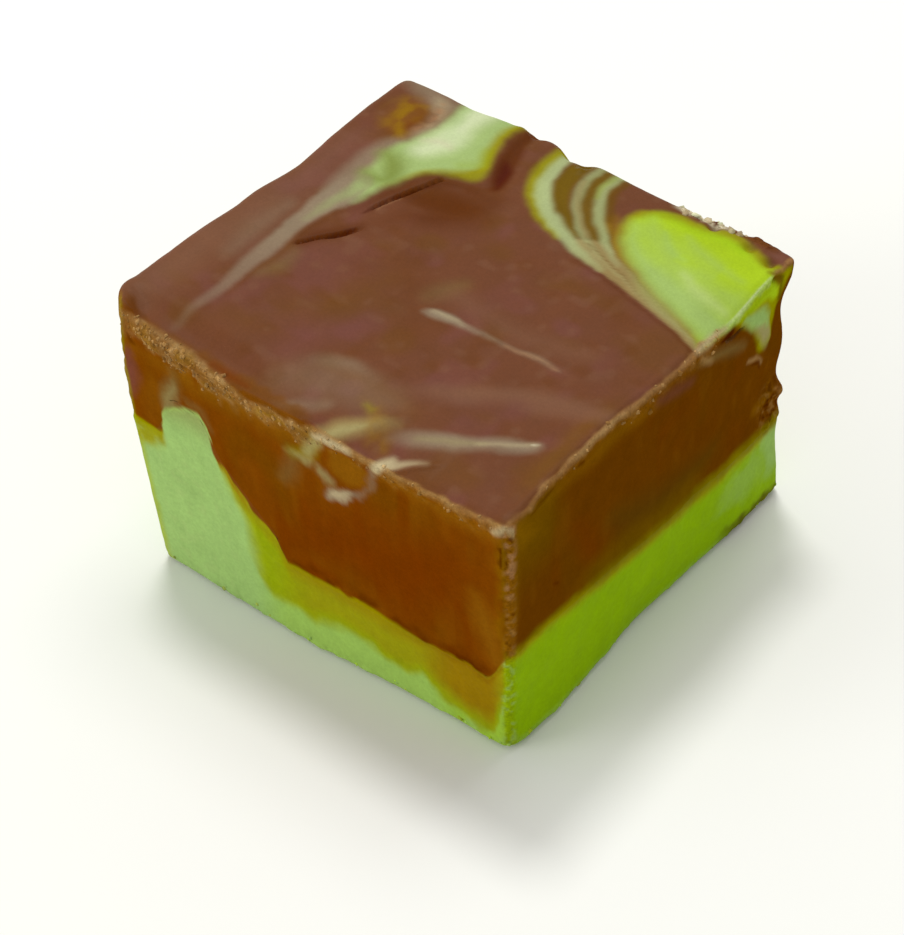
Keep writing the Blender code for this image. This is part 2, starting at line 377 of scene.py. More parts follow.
# Marks have a colour, the softness of the edge (mm), a strength and points. Points with two
# numbers outline a patch, with three or four they are a stroke (half width, strength). A rim
# widens the mark, a broken one has gaps of that size (mm).
# Marks on the poured top, in the order they lie on each other: points are in x and y (mm).
topMarks = {
    # painted sheen: the left edge of the top, paler and pinker where it catches the light
    "pale side": ("skinPale", 2, 0.8, [(1.2, 2, 1.2), (1.8, 12, 1.6), (1.8, 24, 0.8)]),
    "pink left": ("skinPink", 1.6, 0.35, [(2, 17, 0.8), (2.2, 22, 0.8), (1.8, 26, 0.5)]),
    "pink front": ("skinPink", 1.5, 0.45, [(13.2, 3.6, 0.6), (14, 6.8, 1), (15.6, 8.8, 0.5)]),
    "pink wipe": ("skinPink", 1.3, 0.4, [(22.6, 6.6, 0.6), (24.4, 7.6, 0.7), (27.4, 8.8, 0.6)]),
    "dark middle": ("skinWarm", 2, 0.55, [(11.4, 13.5, 0.5), (13.6, 15.6, 0.8), (18.6, 10.8, 0.8)]),
    "olive cast": ("skinOlive", 1.6, 0.45, [(9.2, 4.2, 0.8), (12.6, 9.8, 0.8), (14.2, 13.4, 0.5)]),
    "olive right": ("skinOlive", 1.2, 0.45, [(33.4, 3, 0.5), (33.4, 9, 0.6), (33.6, 15, 0.4)]),
    "grey front": ("grey", 1.4, 0.26, [(14.4, 1.2), (14.6, 3.6), (17.8, 5.4), (20.4, 5.4), (22.6, 4.6),
        (21, 2.6)]),
    "light wipe": ("skinPale", 0.8, 0.9, [(21.5, 5.6, 0.4, 0.4), (24.6, 7.6, 0.8), (27.6, 9.6, 0.7),
        (30.6, 11, 0.7), (34, 11.6, 0.6, 0.7)]),
    "amber wipe": ("amber", 1.3, 0.1, [(17, 4.6, 0.4), (20.4, 4.8, 0.7), (23.4, 4.4, 0.6)]),
    "light by the middle": ("skinPale", 1.2, 0.6, [(18.6, 15.2, 0.8), (21.4, 14.8, 0.6), (25.4, 14.8, 0.6),
        (29.4, 15.8, 0.5)]),
    "amber at the right edge": ("amber", 0.7, 0.1, [(33.6, 4.2, 0.4), (33.2, 8.6, 0.7), (33.8, 12, 0.3)]),
    "pale at the right": ("skinPale", 0.7, 0.6, [(29.6, 9.6, 0.5), (32.4, 11, 0.6), (34.2, 11.6, 0.5)]),
    "grey wipe": ("grey", 0.6, 0.4, [(15.4, 4.3, 0.5, 0.4), (17.4, 5.4, 0.5), (19.4, 5.3, 0.3, 0.3)]),
    "back corner haze": ("grey", 1, 0.7, [(0.6, 33, 0.8, 0.7), (2.6, 32.4, 0.9), (4.6, 32, 1),
        (6, 32.4, 0.5)]),
    "stain ground": ("cut", 0.9, 0.6, [(2.2, 30.2), (2.3, 28), (3.2, 26.8), (4.6, 26.4), (4.9, 27.8),
        (4.4, 30), (3.4, 30.8)]),
    "amber clouds": ("amber", 0.9, 0.6, [(1.8, 30.4), (1.9, 28), (3, 26.6), (4.6, 26.2), (4.9, 27.8),
        (4.4, 30), (3.4, 31)], {"broken": 0.9}),
    "stain red": ("cut", 0.5, 0.6, [(4.4, 30, 0.3), (4.6, 28.6, 0.5), (4.2, 27.4, 0.3)]),
    "stain bright": ("amber", 0.4, 0.6, [(3.8, 30.8, 0.1), (2.8, 29.8, 0.35), (3.2, 28.4, 0.3),
        (4, 27.2, 0.4), (4.9, 26.4, 0.2)], {"broken": 0.6}),
    "pale by the stain": ("cream", 0.8, 0.6, [(4.2, 32, 0.4, 0.7), (5.2, 30.6, 0.5), (5.5, 29, 0.4),
        (5.4, 27.6, 0.3, 0.7)]),
    "stain crumbs": ("pit", 0.7, 0.5, [(4.9, 31, 0.3), (5.1, 29.6, 0.5), (4.9, 28.2, 0.3)], {"broken": 0.45}),
    "pink crumbs": ("ridgePink", 0.5, 0.8, [(4.5, 31.8, 0.1), (5, 30.6, 0.25), (5.3, 29.2, 0.2),
        (5, 28, 0.15)], {"broken": 0.5}),
    # painted shade: the fold where the chocolate folds down, darkest at its heart and under the flare, down
    # to the lower fold
    "dark fold": ("fold", 0.45, 0.9, [(11.9, 33.8, 0.5), (11.9, 31.4, 0.55), (12.4, 29.6, 0.75),
        (13, 27.8, 0.8), (13.6, 26.2, 0.6)]),
    "fold heart": ("foldHeart", 0.45, 0.85, [(12.5, 29, 0.15), (13, 28.2, 0.45), (13.4, 27, 0.4),
        (13.7, 26.2, 0.15)]),
    "under fold": ("fold", 1.7, 0.9, [(14.8, 24.6, 0.4, 0.8), (12.6, 24.8, 0.5), (10.6, 24.2, 0.5),
        (10.6, 22.2, 1), (12.8, 22.6, 1.4), (14.4, 22.4, 1, 0.7), (12.4, 20.6, 0.8), (10.6, 19.6, 0.6, 0.7),
        (9.6, 17.4, 0.3, 0.4)]),
    "under fold warm": ("cutRight", 1.5, 0.6, [(8.6, 22.3, 0.2), (10.4, 22.2, 0.7), (12, 22.5, 0.8),
        (13.6, 23, 0.6), (14.8, 23.6, 0.2, 0.6)]),
    "fold shade": ("fold", 1, 0.7, [(9.4, 21.4, 0.4), (11, 21.9, 1), (12.6, 22.6, 1.2), (13.8, 23.4, 0.7)]),
    "under fold near": ("fold", 0.7, 0.6, [(9, 24, 0.3), (8.4, 22, 0.5), (8, 20, 0.4), (7.4, 18, 0.3, 0.5)]),
    "lower fold": ("fold", 0.6, 0.75, [(8.9, 16.8, 0.2), (7.9, 15.2, 0.4), (7, 13.6, 0.5),
        (6.5, 11.8, 0.3, 0.5)]),
    "shade by the streak": ("skinWarm", 0.35, 0.7, [(6.5, 17.4, 0.2), (6.3, 14, 0.3), (6.3, 9, 0.25),
        (6.3, 5.4, 0.2, 0.5)]),
    # painted shade in the two creases, and a painted highlight on the lip between them
    "upper crease": ("pit", 0.2, 0.95, [(10.1, 24.1, 0.06), (9.8, 23.2, 0.22), (9.4, 22.2, 0.16),
        (9, 21.2, 0.1), (8.7, 20.2, 0.14), (8.3, 18.8, 0.14), (8, 18, 0.03)]),
    "highlight between the creases": ("ridgePink", 0.2, 0.5, [(9.2, 20.9, 0.1), (8.9, 20.3, 0.16), (8.7, 19.5, 0.08),
        (8.6, 19, 0.1)]),
    "lower crease": ("pit", 0.18, 0.9, [(8.7, 16.3, 0.05), (8.3, 15.3, 0.2), (7.8, 14.5, 0.08),
        (7, 13.2, 0.07), (6.5, 12.4, 0.04)]),
    "flare shadow": ("grey", 0.7, 0.72, [(6.3, 33), (6.1, 29.4), (5.2, 26.9), (3.9, 25.2), (3.6, 22),
        (4.1, 18), (6, 17.6), (6.9, 21), (9, 27)]),
    "flare rim": ("smear", 0.4, 0.85, [(7.4, 33.9), (7.2, 30), (7, 27), (6.6, 24), (6.9, 21.6), (7.6, 22.7),
        (8.3, 24), (9.2, 25.2), (10.4, 25.8), (11.6, 26.2), (11.7, 27.2), (11, 28.8), (10.6, 30.4),
        (10.5, 32), (10.6, 33.9)], {"rim": 0.45}),
    "flare": ("flareGreen", 0.5, 1, [(6, 33.9), (6.1, 30.8), (6.1, 28.8), (5.6, 26.8), (5, 25), (5.2, 22.5),
        (5.4, 20), (6.4, 18.4), (7.1, 20), (7.5, 21.9), (8.1, 23.4), (8.9, 24.8), (10.2, 25.9), (11, 26.6),
        (11.1, 27.6), (10.5, 29), (10.2, 30.6), (10.1, 32), (10.2, 33.9)], {"rim": 0.05}),
    "flare olive": ("flareOlive", 0.9, 1, [(5.2, 24.2, 0.5), (6.6, 23.4, 0.9), (7, 22, 0.6),
        (5.4, 21.6, 0.5)]),
    "flare green edge": ("smearGreen", 0.6, 0.35, [(10.6, 29, 0.4), (11.2, 27.8, 0.5), (10.2, 26.6, 0.4)]),
    # painted highlight on the flare
    "flare highlight": ("flare", 1, 0.92, [(6.6, 33.6), (6.6, 30.4), (6.4, 27.8), (6.2, 26), (7.2, 25.6),
        (8, 26.6), (8.7, 28.4), (8.4, 30.6), (8.6, 33.6)]),
    "flare clouds": ("mint", 1, 0.2, [(6.4, 32, 0.6), (7.4, 29, 0.9), (7, 26.6, 0.8),
        (9.6, 28.6, 0.5)], {"broken": 1.6}),
    # painted glint in the flare's highlight
    "flare glint": ("sugar", 0.5, 0.5, [(6.2, 27.2, 0.1), (7.4, 28, 0.3), (8.4, 27.8, 0.1)]),
    "left streak": ("grey", 0.35, 0.9, [(5.6, 20.6, 1.1, 0.5), (5.4, 18.6, 1.3, 0.9), (5.15, 16.2, 0.95),
        (5.25, 12.8, 0.72, 0.95), (5.35, 9.8, 0.66, 0.8), (5.5, 6.4, 0.46, 0.6), (5.5, 3.8, 0.38, 0.4),
        (5.3, 1.2, 0.25, 0.15)]),
    "streak mint": ("flareGreen", 0.4, 0.35, [(5.8, 20.2, 0.5), (5.5, 18, 0.4), (5.4, 15, 0.3, 0.4)]),
    "streak haze": ("grey", 0.9, 0.26, [(3.2, 15.6, 0.5), (3.2, 12, 0.8), (3.6, 9, 0.5)]),
    "smudge": ("haze", 0.9, 0.42, [(7, 11.8, 0.3), (7.2, 10, 0.6), (6.8, 8.4, 0.3)]),
    "stripe A rim": ("smear", 0.4, 0.85, [(14.9, 33.8, 0.5), (14.9, 31.4, 0.5), (15.2, 29.4, 0.6),
        (15.9, 27.9, 0.6), (16.9, 26.6, 0.6), (18.4, 25.4, 0.5), (20.4, 24.5, 0.3)]),
    "olive field": ("oliveRight", 0.4, 0.95, [(17.1, 33.6, 0.8), (17.1, 31.4, 0.8), (17.3, 29.6, 0.8),
        (18, 28, 0.7), (19.4, 26.6, 0.55), (21.4, 25.3, 0.4)]),
    "stripes ground": ("oliveRight", 0.5, 0.85, [(19.4, 33.6, 1.3), (19.4, 31, 1.3), (20.2, 28.8, 1.3),
        (21.8, 27, 1.2), (24, 25.4, 0.8)]),
    "field by the pool": ("amber", 0.6, 0.5, [(22.4, 28.2, 0.5), (23, 27, 0.6),
        (24.2, 26, 0.4)], {"broken": 1.2}),
    "stripes tail": ("tail", 0.18, 0.95, [(21.4, 24.5), (23.4, 23.5), (26, 22.95), (28, 22.55), (30.2, 22),
        (32.4, 21.4), (35, 20.8), (35, 21.4), (32.6, 22.2), (30.4, 22.9), (28, 23.8), (26, 24.8), (24, 25.8),
        (22.6, 25.6)]),
    "stripe A": ("stripe", 0.34, 0.85, [(15.6, 33.8, 0.45), (15.6, 31.4, 0.5), (15.9, 29.4, 0.55),
        (16.5, 28, 0.6), (17.4, 26.9, 0.62), (18.8, 25.8, 0.55), (20.6, 24.9, 0.48), (22.6, 24.1, 0.42, 0.8),
        (24.6, 23.5, 0.3, 0.4)]),
    "stripe A light": ("stripe", 0.3, 0.5, [(16, 30.6, 0.1), (16.5, 28.3, 0.25), (17.4, 27.1, 0.3),
        (18.6, 26, 0.15)]),
    "stripe B": ("stripe", 0.3, 0.55, [(18.3, 33.6, 0.3), (18.3, 31.4, 0.36), (18.6, 29.7, 0.36),
        (19.3, 28.1, 0.32), (20.5, 26.7, 0.3), (21.8, 25.6, 0.26), (24, 24.5, 0.2, 0.4)]),
    "stripe B tan": ("tail", 0.2, 0.5, [(18.3, 30.6, 0.2), (18.9, 28.9, 0.2), (20.2, 27.2, 0.2),
        (22, 25.7, 0.2)]),
    "stripe C": ("stripe", 0.32, 0.66, [(19.9, 33.8, 0.4), (19.9, 31.8, 0.42), (20.2, 30, 0.44),
        (21, 28.5, 0.42), (22.2, 27, 0.36), (23.6, 25.8, 0.3), (25.4, 24.6, 0.2, 0.4)]),
    "stripe C green": ("smearGreen", 0.3, 0.35, [(19.7, 33, 0.2), (19.7, 31, 0.25), (20, 29.6, 0.15)]),
    "olive C": ("olive", 0.3, 0.7, [(20.8, 33, 0.25), (20.9, 31, 0.25), (21.4, 29.4, 0.3), (22.4, 28, 0.3)]),
    "tail light": ("greyPale", 0.2, 0.55, [(23.4, 24.6, 0.2), (26, 23.7, 0.15), (28.6, 22.9, 0.12),
        (31.4, 22.1, 0.1), (34.4, 21.4, 0.08)]),
    "tail shade": ("olive", 0.14, 0.5, [(22.6, 25.1, 0.05), (24.6, 24.5, 0.06), (27, 23.5, 0.05),
        (29.4, 22.6, 0.03)]),
    "under tail": ("fold", 0.25, 0.6, [(23, 23.2, 0.05), (26, 22.6, 0.1), (30, 21.7, 0.08),
        (34.4, 20.6, 0.08)]),
    "amber line": ("amber", 0.24, 0.9, [(23.2, 28, 0.2, 0.5), (23.6, 26.9, 0.22, 0.8), (24.6, 25.9, 0.25),
        (26.4, 24.9, 0.24), (28.4, 23.95, 0.2), (30.6, 23, 0.18), (32.6, 22.3, 0.16), (34.8, 21.6, 0.14)]),
    "pool rim": ("smear", 0.35, 0.85, [(23.3, 29.2), (23.6, 27.8), (24.5, 26.6), (25.8, 25.6), (27.4, 24.9),
        (29.4, 24), (31.4, 23.2), (33.2, 22.6), (35.2, 22), (35.2, 30.4), (33.2, 31.2), (31.4, 31.9),
        (30, 32.3), (28.4, 32), (27, 31.6), (25.8, 31.7), (24.6, 31), (23.7, 30.3)], {"rim": 0.3}),
    "pool": ("mintPool", 0.5, 1, [(23.5, 29.2), (23.8, 27.9), (24.6, 26.8), (25.8, 25.8), (27.4, 25),
        (29.4, 24.1), (31.4, 23.3), (33.2, 22.7), (35.2, 22.1), (35.2, 29.9), (33.2, 30.7), (31.4, 31.4),
        (30, 31.6), (28.4, 31.3), (27, 31), (25.8, 31), (24.6, 30.6), (23.9, 29.9)]),
    "pool green": ("mintVivid", 0.8, 0.7, [(24.4, 30.4, 0.3), (25, 31.2, 0.2), (27, 31, 0.3), (29, 31.4, 0.3),
        (31.4, 31, 0.3)]),
    "pool pale shore": ("mintShore", 1.2, 0.95, [(24, 28.6, 0.2, 0.8), (24.8, 27.2, 0.4), (26.4, 26, 0.6),
        (28.6, 25, 1.1), (31.2, 24.2, 1.4), (34.6, 23.6, 1.5)]),
    "pool pale cloud": ("mintShore", 1, 0.4, [(24.6, 30, 0.2), (26, 28.2, 0.4), (29, 26.8, 0.5),
        (33.6, 26.6, 0.5)]),
    "pool streak far": ("mintShore", 0.6, 0.4, [(27.6, 30, 0.1), (29, 29.2, 0.3), (31.4, 28.6, 0.2),
        (33, 28.4, 0.1)]),
    "pool streak near": ("mint", 0.5, 0.45, [(26, 29.4, 0.1), (27.4, 28, 0.25), (28.8, 27.6, 0.1)]),
    "pool clouds": ("mintShore", 1.2, 0.28, [(25.2, 29, 0.8), (28.2, 28, 1.4), (31.4, 27.2, 1.6),
        (34, 26.6, 1.2)], {"broken": 1.1}),
    "pool light": ("flare", 0.5, 0.22, [(29.6, 26.4, 0.2), (31.4, 25.6, 0.5), (33.6, 25.6, 0.3)]),
    "middle haze": ("haze", 1, 0.32, [(17.4, 13.6, 0.3), (17.6, 14.8, 0.6), (18.4, 16.4, 0.3)]),
    "middle streak": ("grey", 0.3, 0.95, [(18.1, 12.4, 0.15, 0.6), (18.8, 12.7, 0.42), (19.8, 12.9, 0.4),
        (21.2, 13, 0.24, 0.8), (23, 13.2, 0.14, 0.6), (25, 13.4, 0.12, 0.55), (26.6, 13.55, 0.16, 0.7),
        (28.6, 13.4, 0.08, 0.4)]),
    "middle streak pink": ("ridgePink", 0.16, 0.5, [(24.4, 13.3, 0.06), (26.4, 13.5, 0.12),
        (27.4, 13.5, 0.04), (28.4, 13.4, 0.12)]),
    "middle streak light": ("cream", 0.22, 0.4, [(18.6, 12.8, 0.1), (19.8, 12.95, 0.12), (21, 13.05, 0.02)]),
    "front streak": ("grey", 0.45, 0.85, [(23.6, 1.9, 0.3, 0.3), (24.8, 2.7, 0.65, 0.7),
        (26.4, 3.5, 0.75, 0.9), (27.8, 4.3, 0.7, 0.9), (29.2, 5.3, 0.62, 0.9), (30.6, 6.2, 0.6),
        (31.6, 6.8, 0.42)]),
    "front streak light": ("cream", 0.3, 0.4, [(28.6, 4.8, 0.15), (30.2, 6, 0.2), (31.2, 6.9, 0.2),
        (31.6, 7, 0.1)]),
    "front streak pale": ("greyPale", 0.35, 0.3, [(25.2, 2.9, 0.2), (27, 3.8, 0.3), (28.8, 5, 0.2)]),
    # painted glint at the end of the front streak
    "streak end": ("sugar", 0.14, 0.7, [(31.3, 6.95, 0.06), (31.6, 7, 0.08)]),
    "olive smear": ("smear", 0.4, 0.4, [(20.7, 3.1, 0.2), (21.2, 2.9, 0.25)]),
    "tan streak": ("tail", 0.5, 0.95, [(19.4, -0.4, 0.55), (20.5, 0.7, 0.65), (21.5, 1.6, 0.6),
        (22.4, 2.4, 0.45, 0.8), (23.4, 3, 0.3, 0.4)]),
    "tan streak light": ("greyPale", 0.3, 0.6, [(19.8, -0.2, 0.25), (20.8, 0.9, 0.3), (21.8, 1.8, 0.1)]),
    "olive under": ("amber", 0.7, 0.4, [(20.6, 3.4, 0.3), (21.6, 3, 0.4), (22.8, 1.6, 0.6),
        (23.6, 1, 0.4)], {"broken": 0.7}),
    "pale left of it": ("grey", 0.5, 0.35, [(15.4, -0.2, 0.4), (16.8, 0.8, 0.4), (18.6, 1.7, 0.3)]),
    "cream streak": ("cream", 0.25, 0.75, [(24.1, -0.6, 0.4), (24.9, 0.3, 0.34), (25.9, 1, 0.24, 0.8),
        (27, 1.6, 0.14, 0.4)]),
}

# Marks on the front cut face, in x and z (mm).
frontMarks = {
    "amber by the corner": ("amber", 0.7, 0.6, [(34.2, 23, 0.3), (34.3, 18, 0.3), (34.2, 14, 0.5),
        (34.1, 10, 0.5)], {"broken": 1.5}),
    # painted highlight on the round left corner, in the tone of the top
    "pinkish corner": ("skinPink", 0.6, 0.55, [(0.8, 16.4, 0.3), (1.2, 18.5, 0.7), (1.2, 20.4, 0.3)]),
    "amber at the left": ("amberCut", 0.9, 0.45, [(2.4, 15, 0.5), (2.6, 17, 0.6), (3, 19, 0.3)]),
    "amber under the ridge": ("amberCut", 1.3, 0.8, [(1.4, 21.4, 0.5, 0.7), (4, 21.2, 0.7, 0.6), (8, 21, 0.8),
        (12, 21.4, 0.9), (15.6, 21.8, 1), (18, 22.2, 0.8)]),
    "amber under the ridge right": ("amberCut", 1, 0.7, [(24.4, 23.2, 0.5), (29, 23, 0.7), (33.4, 23, 0.6)]),
    "olive left": ("olive", 1.4, 0.4, [(10.4, 16, 0.6), (11.4, 18.4, 1), (14.6, 17, 1.4), (15.4, 13.6, 0.8)]),
    "red middle": ("cutRed", 3, 0.85, [(16.4, 11, 1), (20, 13.4, 2.5), (26, 14.5, 3.4), (29.6, 18, 1.6)]),
    "red low": ("cutRed", 1, 0.7, [(15.6, 8.4, 0.4), (17.2, 8.6, 0.5), (19, 9, 0.3)]),
    "olive right": ("amberCut", 1.2, 0.9, [(32, 16, 0.5, 0.7), (32.6, 13.6, 0.9), (33.2, 11.4, 0.6),
        (33.6, 9.6, 0.4)]),
    "finger haze": ("haze", 0.7, 0.75, [(4.2, 16.6, 0.3), (4.6, 18, 0.7), (5.4, 19.6, 0.5),
        (5.6, 21, 0.3, 0.5)]),
    "finger haze pale": ("greyPale", 0.6, 0.35, [(4.2, 17.2, 0.2), (4.9, 18.6, 0.35), (5.4, 19.6, 0.15)]),
    "haze right of the finger": ("haze", 0.5, 0.35, [(6.6, 18.8, 0.3), (7.8, 18.6, 0.3), (8.4, 17.4, 0.2)]),
    "haze left of the curl": ("haze", 0.9, 0.4, [(15.4, 17, 0.3), (16.2, 18.4, 0.6), (16.6, 19.8, 0.5)]),
    "inside curl": ("amberCut", 0.5, 0.85, [(20, 20.6), (21.4, 20.2), (22.8, 20.9), (23.1, 22.6),
        (21.4, 23.2), (19.9, 22.6)]),
    "curl olive": ("smear", 0.7, 0.45, [(16.4, 20, 0.3), (17.6, 20.6, 0.5), (18.2, 21.8, 0.5),
        (18.6, 23, 0.4)]),
    "curl pale": ("greyPale", 0.5, 0.65, [(16, 19.9, 0.1, 0.5), (17.4, 20, 0.25), (18.8, 19.9, 0.3),
        (19.8, 19.4, 0.3)], {"broken": 0.8}),
    "curl stem": ("greyPale", 0.5, 0.5, [(17.8, 20.8, 0.3), (18.4, 22.2, 0.35), (19.4, 23.6, 0.4)]),
    "curl": ("grey", 0.32, 0.85, [(19.4, 17.6, 0.15), (20.2, 18.4, 0.55), (21.2, 19.1, 0.36),
        (22.3, 19.7, 0.2, 0.7), (23.1, 20.6, 0.16, 0.45), (23.4, 22, 0.18, 0.45), (23.7, 23.6, 0.3, 0.8)]),
    "curl light": ("cream", 0.4, 0.6, [(19.8, 18.1, 0.15), (20.5, 18.7, 0.35), (21.4, 19.3, 0.1)]),
}

# Marks on the right cut face, in y and z (mm).
rightMarks = {
    "amber near the corner": ("amberRight", 1.3, 0.75, [(1, 23.6, 0.5), (1.8, 22.2, 0.8),
        (3.2, 21.8, 0.5, 0.6)]),
    "amber edge": ("amberRight", 0.6, 0.6, [(0.5, 21, 0.4), (0.5, 17, 0.5), (0.6, 14, 0.3)]),
    "amber under the ridge": ("amberRight", 0.8, 0.5, [(3, 23.4, 0.3), (8, 23.2, 0.4), (12, 23.2, 0.5),
        (16, 22.8, 0.3)]),
    "red streak": ("cutRed", 1.4, 0.5, [(7.6, 18, 0.5), (9, 15, 0.8), (10.4, 12.6, 0.4)]),
    "red far": ("cutRed", 1.6, 0.3, [(17.4, 19.8, 0.5), (20, 20, 0.8), (19.4, 17, 0.5)]),
    "olive middle": ("oliveDark", 1.8, 0.55, [(11.6, 15.6, 0.6), (14, 13.6, 1.4), (18, 12.6, 1.2),
        (23, 12.4, 0.8)]),
    "pink under the ridge": ("skinPink", 0.8, 0.4, [(16.6, 23, 0.3), (18.6, 22.6, 0.4), (20.2, 22, 0.3)]),
    "scraped": ("haze", 0.7, 0.55, [(21.4, 23.2, 0.3), (23.4, 22.4, 0.5), (25.2, 21.4, 0.5),
        (26.6, 20.4, 0.2)]),
    "green under rim": ("smear", 0.45, 1, [(25.6, 24.9), (26.3, 23.3), (27.2, 22.1), (28.1, 20.9),
        (28.7, 19.6), (29.1, 18.3), (30.1, 18.2), (30.8, 19.4), (31.3, 21), (31.7, 22.8),
        (31.8, 24.9)], {"rim": 0.25}),
    "green tail": ("greyPale", 0.45, 0.9, [(28.4, 21, 0.4), (29.3, 20, 0.6), (29.8, 18.9, 0.55),
        (30, 18, 0.25, 0.5)]),
    "green pale": ("mint", 0.5, 0.9, [(26.8, 23.2, 0.3), (28.2, 21.8, 0.8), (29.6, 21, 0.5),
        (29.8, 20.2, 0.2)]),
    "green bright": ("mintPool", 0.5, 1, [(25.9, 24.5, 0.5), (27.8, 23.9, 0.6), (29.8, 23.4, 0.8),
        (30.8, 22.2, 0.3)]),
    "green far edge": ("oliveDark", 0.3, 0.8, [(31, 24.2, 0.3), (31.4, 22.8, 0.2), (31.6, 21.2, 0.15)]),
    # painted shade in the slit
    "slit": ("pit", 0.16, 0.9, [(23.8, 23.4, 0.08), (24.7, 23.6, 0.2), (25.4, 23.8, 0.1)]),
    "tan crumbs": ("ridgeLight", 0.25, 0.6, [(27.4, 18.4, 0.15), (28.3, 17.9, 0.2), (28.9, 17.4, 0.1),
        (29.5, 16.6, 0.14)]),
    "tan crumbs shade": ("pit", 0.16, 0.7, [(28, 17.5, 0.06), (28.9, 17, 0.12), (29.3, 16.2, 0.06)]),
    "bump tan": ("amberRight", 0.6, 0.5, [(29.2, 11.8, 0.3), (30.6, 11.8, 0.5), (31.6, 12.6, 0.3)]),
    "dark spot": ("pit", 0.2, 0.6, [(5, 14.5, 0.1), (5.4, 14.2, 0.08)]),
    "dark spot low": ("pit", 0.3, 0.5, [(2.8, 11.2, 0.1), (3.2, 10.8, 0.2), (3.4, 10.2, 0.1)]),
}

# The top of the mint at the left of the front, olive at first and then the finger (x, z).
fingerBorder = ((0, 14.3), (3.2, 14.2), (3.5, 15.8), (4, 16.5), (6, 17.8), (7.6, 18), (8.1, 17), (8.4, 14.6),
                (9, 12.9))

# The olive smear of chocolate dragged over the mint along the front: its lower border (x, z).
smearBorder = ((10.4, 6), (11.4, 4.2), (12.4, 3.5), (14.6, 3.6), (16.4, 3.2), (18, 3.8), (20, 4.1),
               (22, 3.9), (23.4, 3.2), (25.2, 3.2), (26.6, 4.1), (27.4, 3.4), (28.6, 2.5), (30.4, 2),
               (32, 1.5), (33.2, 1.9), (34, 5), (34.6, 8))

# How the two layers meet at each cut side: where the olive blend begins and ends below the
# border, where clear mint begins and is clear (mm), and which mint it is.
sideLooks = {
    "front": {"blend": (-0.3, 0.2), "clear": (0.15, 0.8), "mint": "mint"},
    "right": {"blend": (-1.2, 0.5), "clear": (0.4, 1.7), "mint": "mintRight"},
    "left": {"blend": (-0.6, 0.5), "clear": (0.3, 1.6), "mint": "mint"},
    "back": {"blend": (-0.6, 0.5), "clear": (0.3, 1.8), "mint": "mintVivid"},
}

# Cut chocolate in two tones, and the cloudy skin of the top.
groundRules = [
    ("cutRight", 1, "right"),
    ("olive", 0.3, "cut", (3.5, 21, 0, 0.9)),
    ("cutRed", 0.5, "cut", "redDrags"),
    ("amberCut", 0.16, "cut", "amberDrags"),
    ("skin", 1, "top"),
    ("skinPink", 0.4, "top", (1.9, 24, 0.05, 0.75)),
    ("skinOlive", 0.45, "top", (2.3, 25, 0.05, 0.75)),
    ("skinWarm", 0.4, "top", (1.2, 26, 0.1, 0.8)),
    ("skinPale", 0.35, "top", (0.9, 27, 0.2, 0.8)),
]

# The finger of mint with its olive left side, and the smear dragged along to the right.
frontRules = [
    ("mintEdge", 0.8, ("x", 1.4, 0.7), ("below", 0, 0.8)),
    ("smear", 0.95, "oliveBlock", ("below", -0.2, 0.25)),
    ("smearGreen", 0.5, "oliveBlock", ("x", 1, 0.2)),
    ("mint", 0.9, ("x", 3.2, 3.5), ("x", 8.8, 8.2), ("z", 12.4, 14), ("below", -0.45, 0.25),
     ("below", 1.6, 0.8)),
    ("haze", 0.45, ("z", 14.6, 17.6), ("below", 0, 0.4)),
    ("mintEdge", 0.8, "shoulder", ("below", 3, 1.2)),
    ("smear", 0.9, "shoulder", ("below", 1.8, 0.9)),
    ("amber", 0.8, "shoulder", ("below", 0.9, 0.3)),
    ("smear", 0.98, "dragged"),
    ("fold", 0.7, "darkEdge", (0.8, 42, -0.6, 0.4)),
    ("pit", 0.3, "darkEdge", ("x", 24, 28)),
    ("smearGreen", 1, "dragged", "greener"),
    ("amber", 1, "dragged", "ambery"),
    ("cut", 0.4, "dragged", ("below", 1, -0.2), ("x", 24, 28)),
    ("mintVivid", 0.35, "strip"),
    ("mintVivid", 0.6, "strip", ("x", 27, 31), (1.2, 35, -0.4, 0.3)),
]

# The blend of the layers on the right face, pale clouds in the mint and the foot of the side.
rightRules = [
    ("oliveRight", 0.6, ("below", -4, -1.2), ("below", 0.4, -0.6), ("y", 6, 10), ("y", 24, 20)),
    ("oliveRight", 0.4, ("below", -0.8, 0), ("below", 1, 0.2), ("y", 7, 10)),
    ("mintRight", 0.8, ("y", 10, 7), ("below", 0.1, 0.8)),
    ("mint", 1, "pale", ("below", 0.1, 1.2)),
    ("oliveRight", 0.4, "chocolate", ("y", 7, 4), ("z", 15, 21)),
    ("oliveDark", 0.75, ("y", 24, 28), ("ragged", 1.9, 1)),
    ("mint", 0.35, ("z", 1.4, 0.5), ("y", 27, 24)),
]

# Sugary mint: paler grains at the front and left, livelier ones at the right and back.
sugarRules = [
    ("flareGreen", 0.25, "deep", "frontLeft", (0.5, 38, 0.25, 0.75), ("x", 10, 8)),
    ("mintVivid", 0.25, "deep", "rightBack", (1.3, 39, 0.2, 0.8)),
]


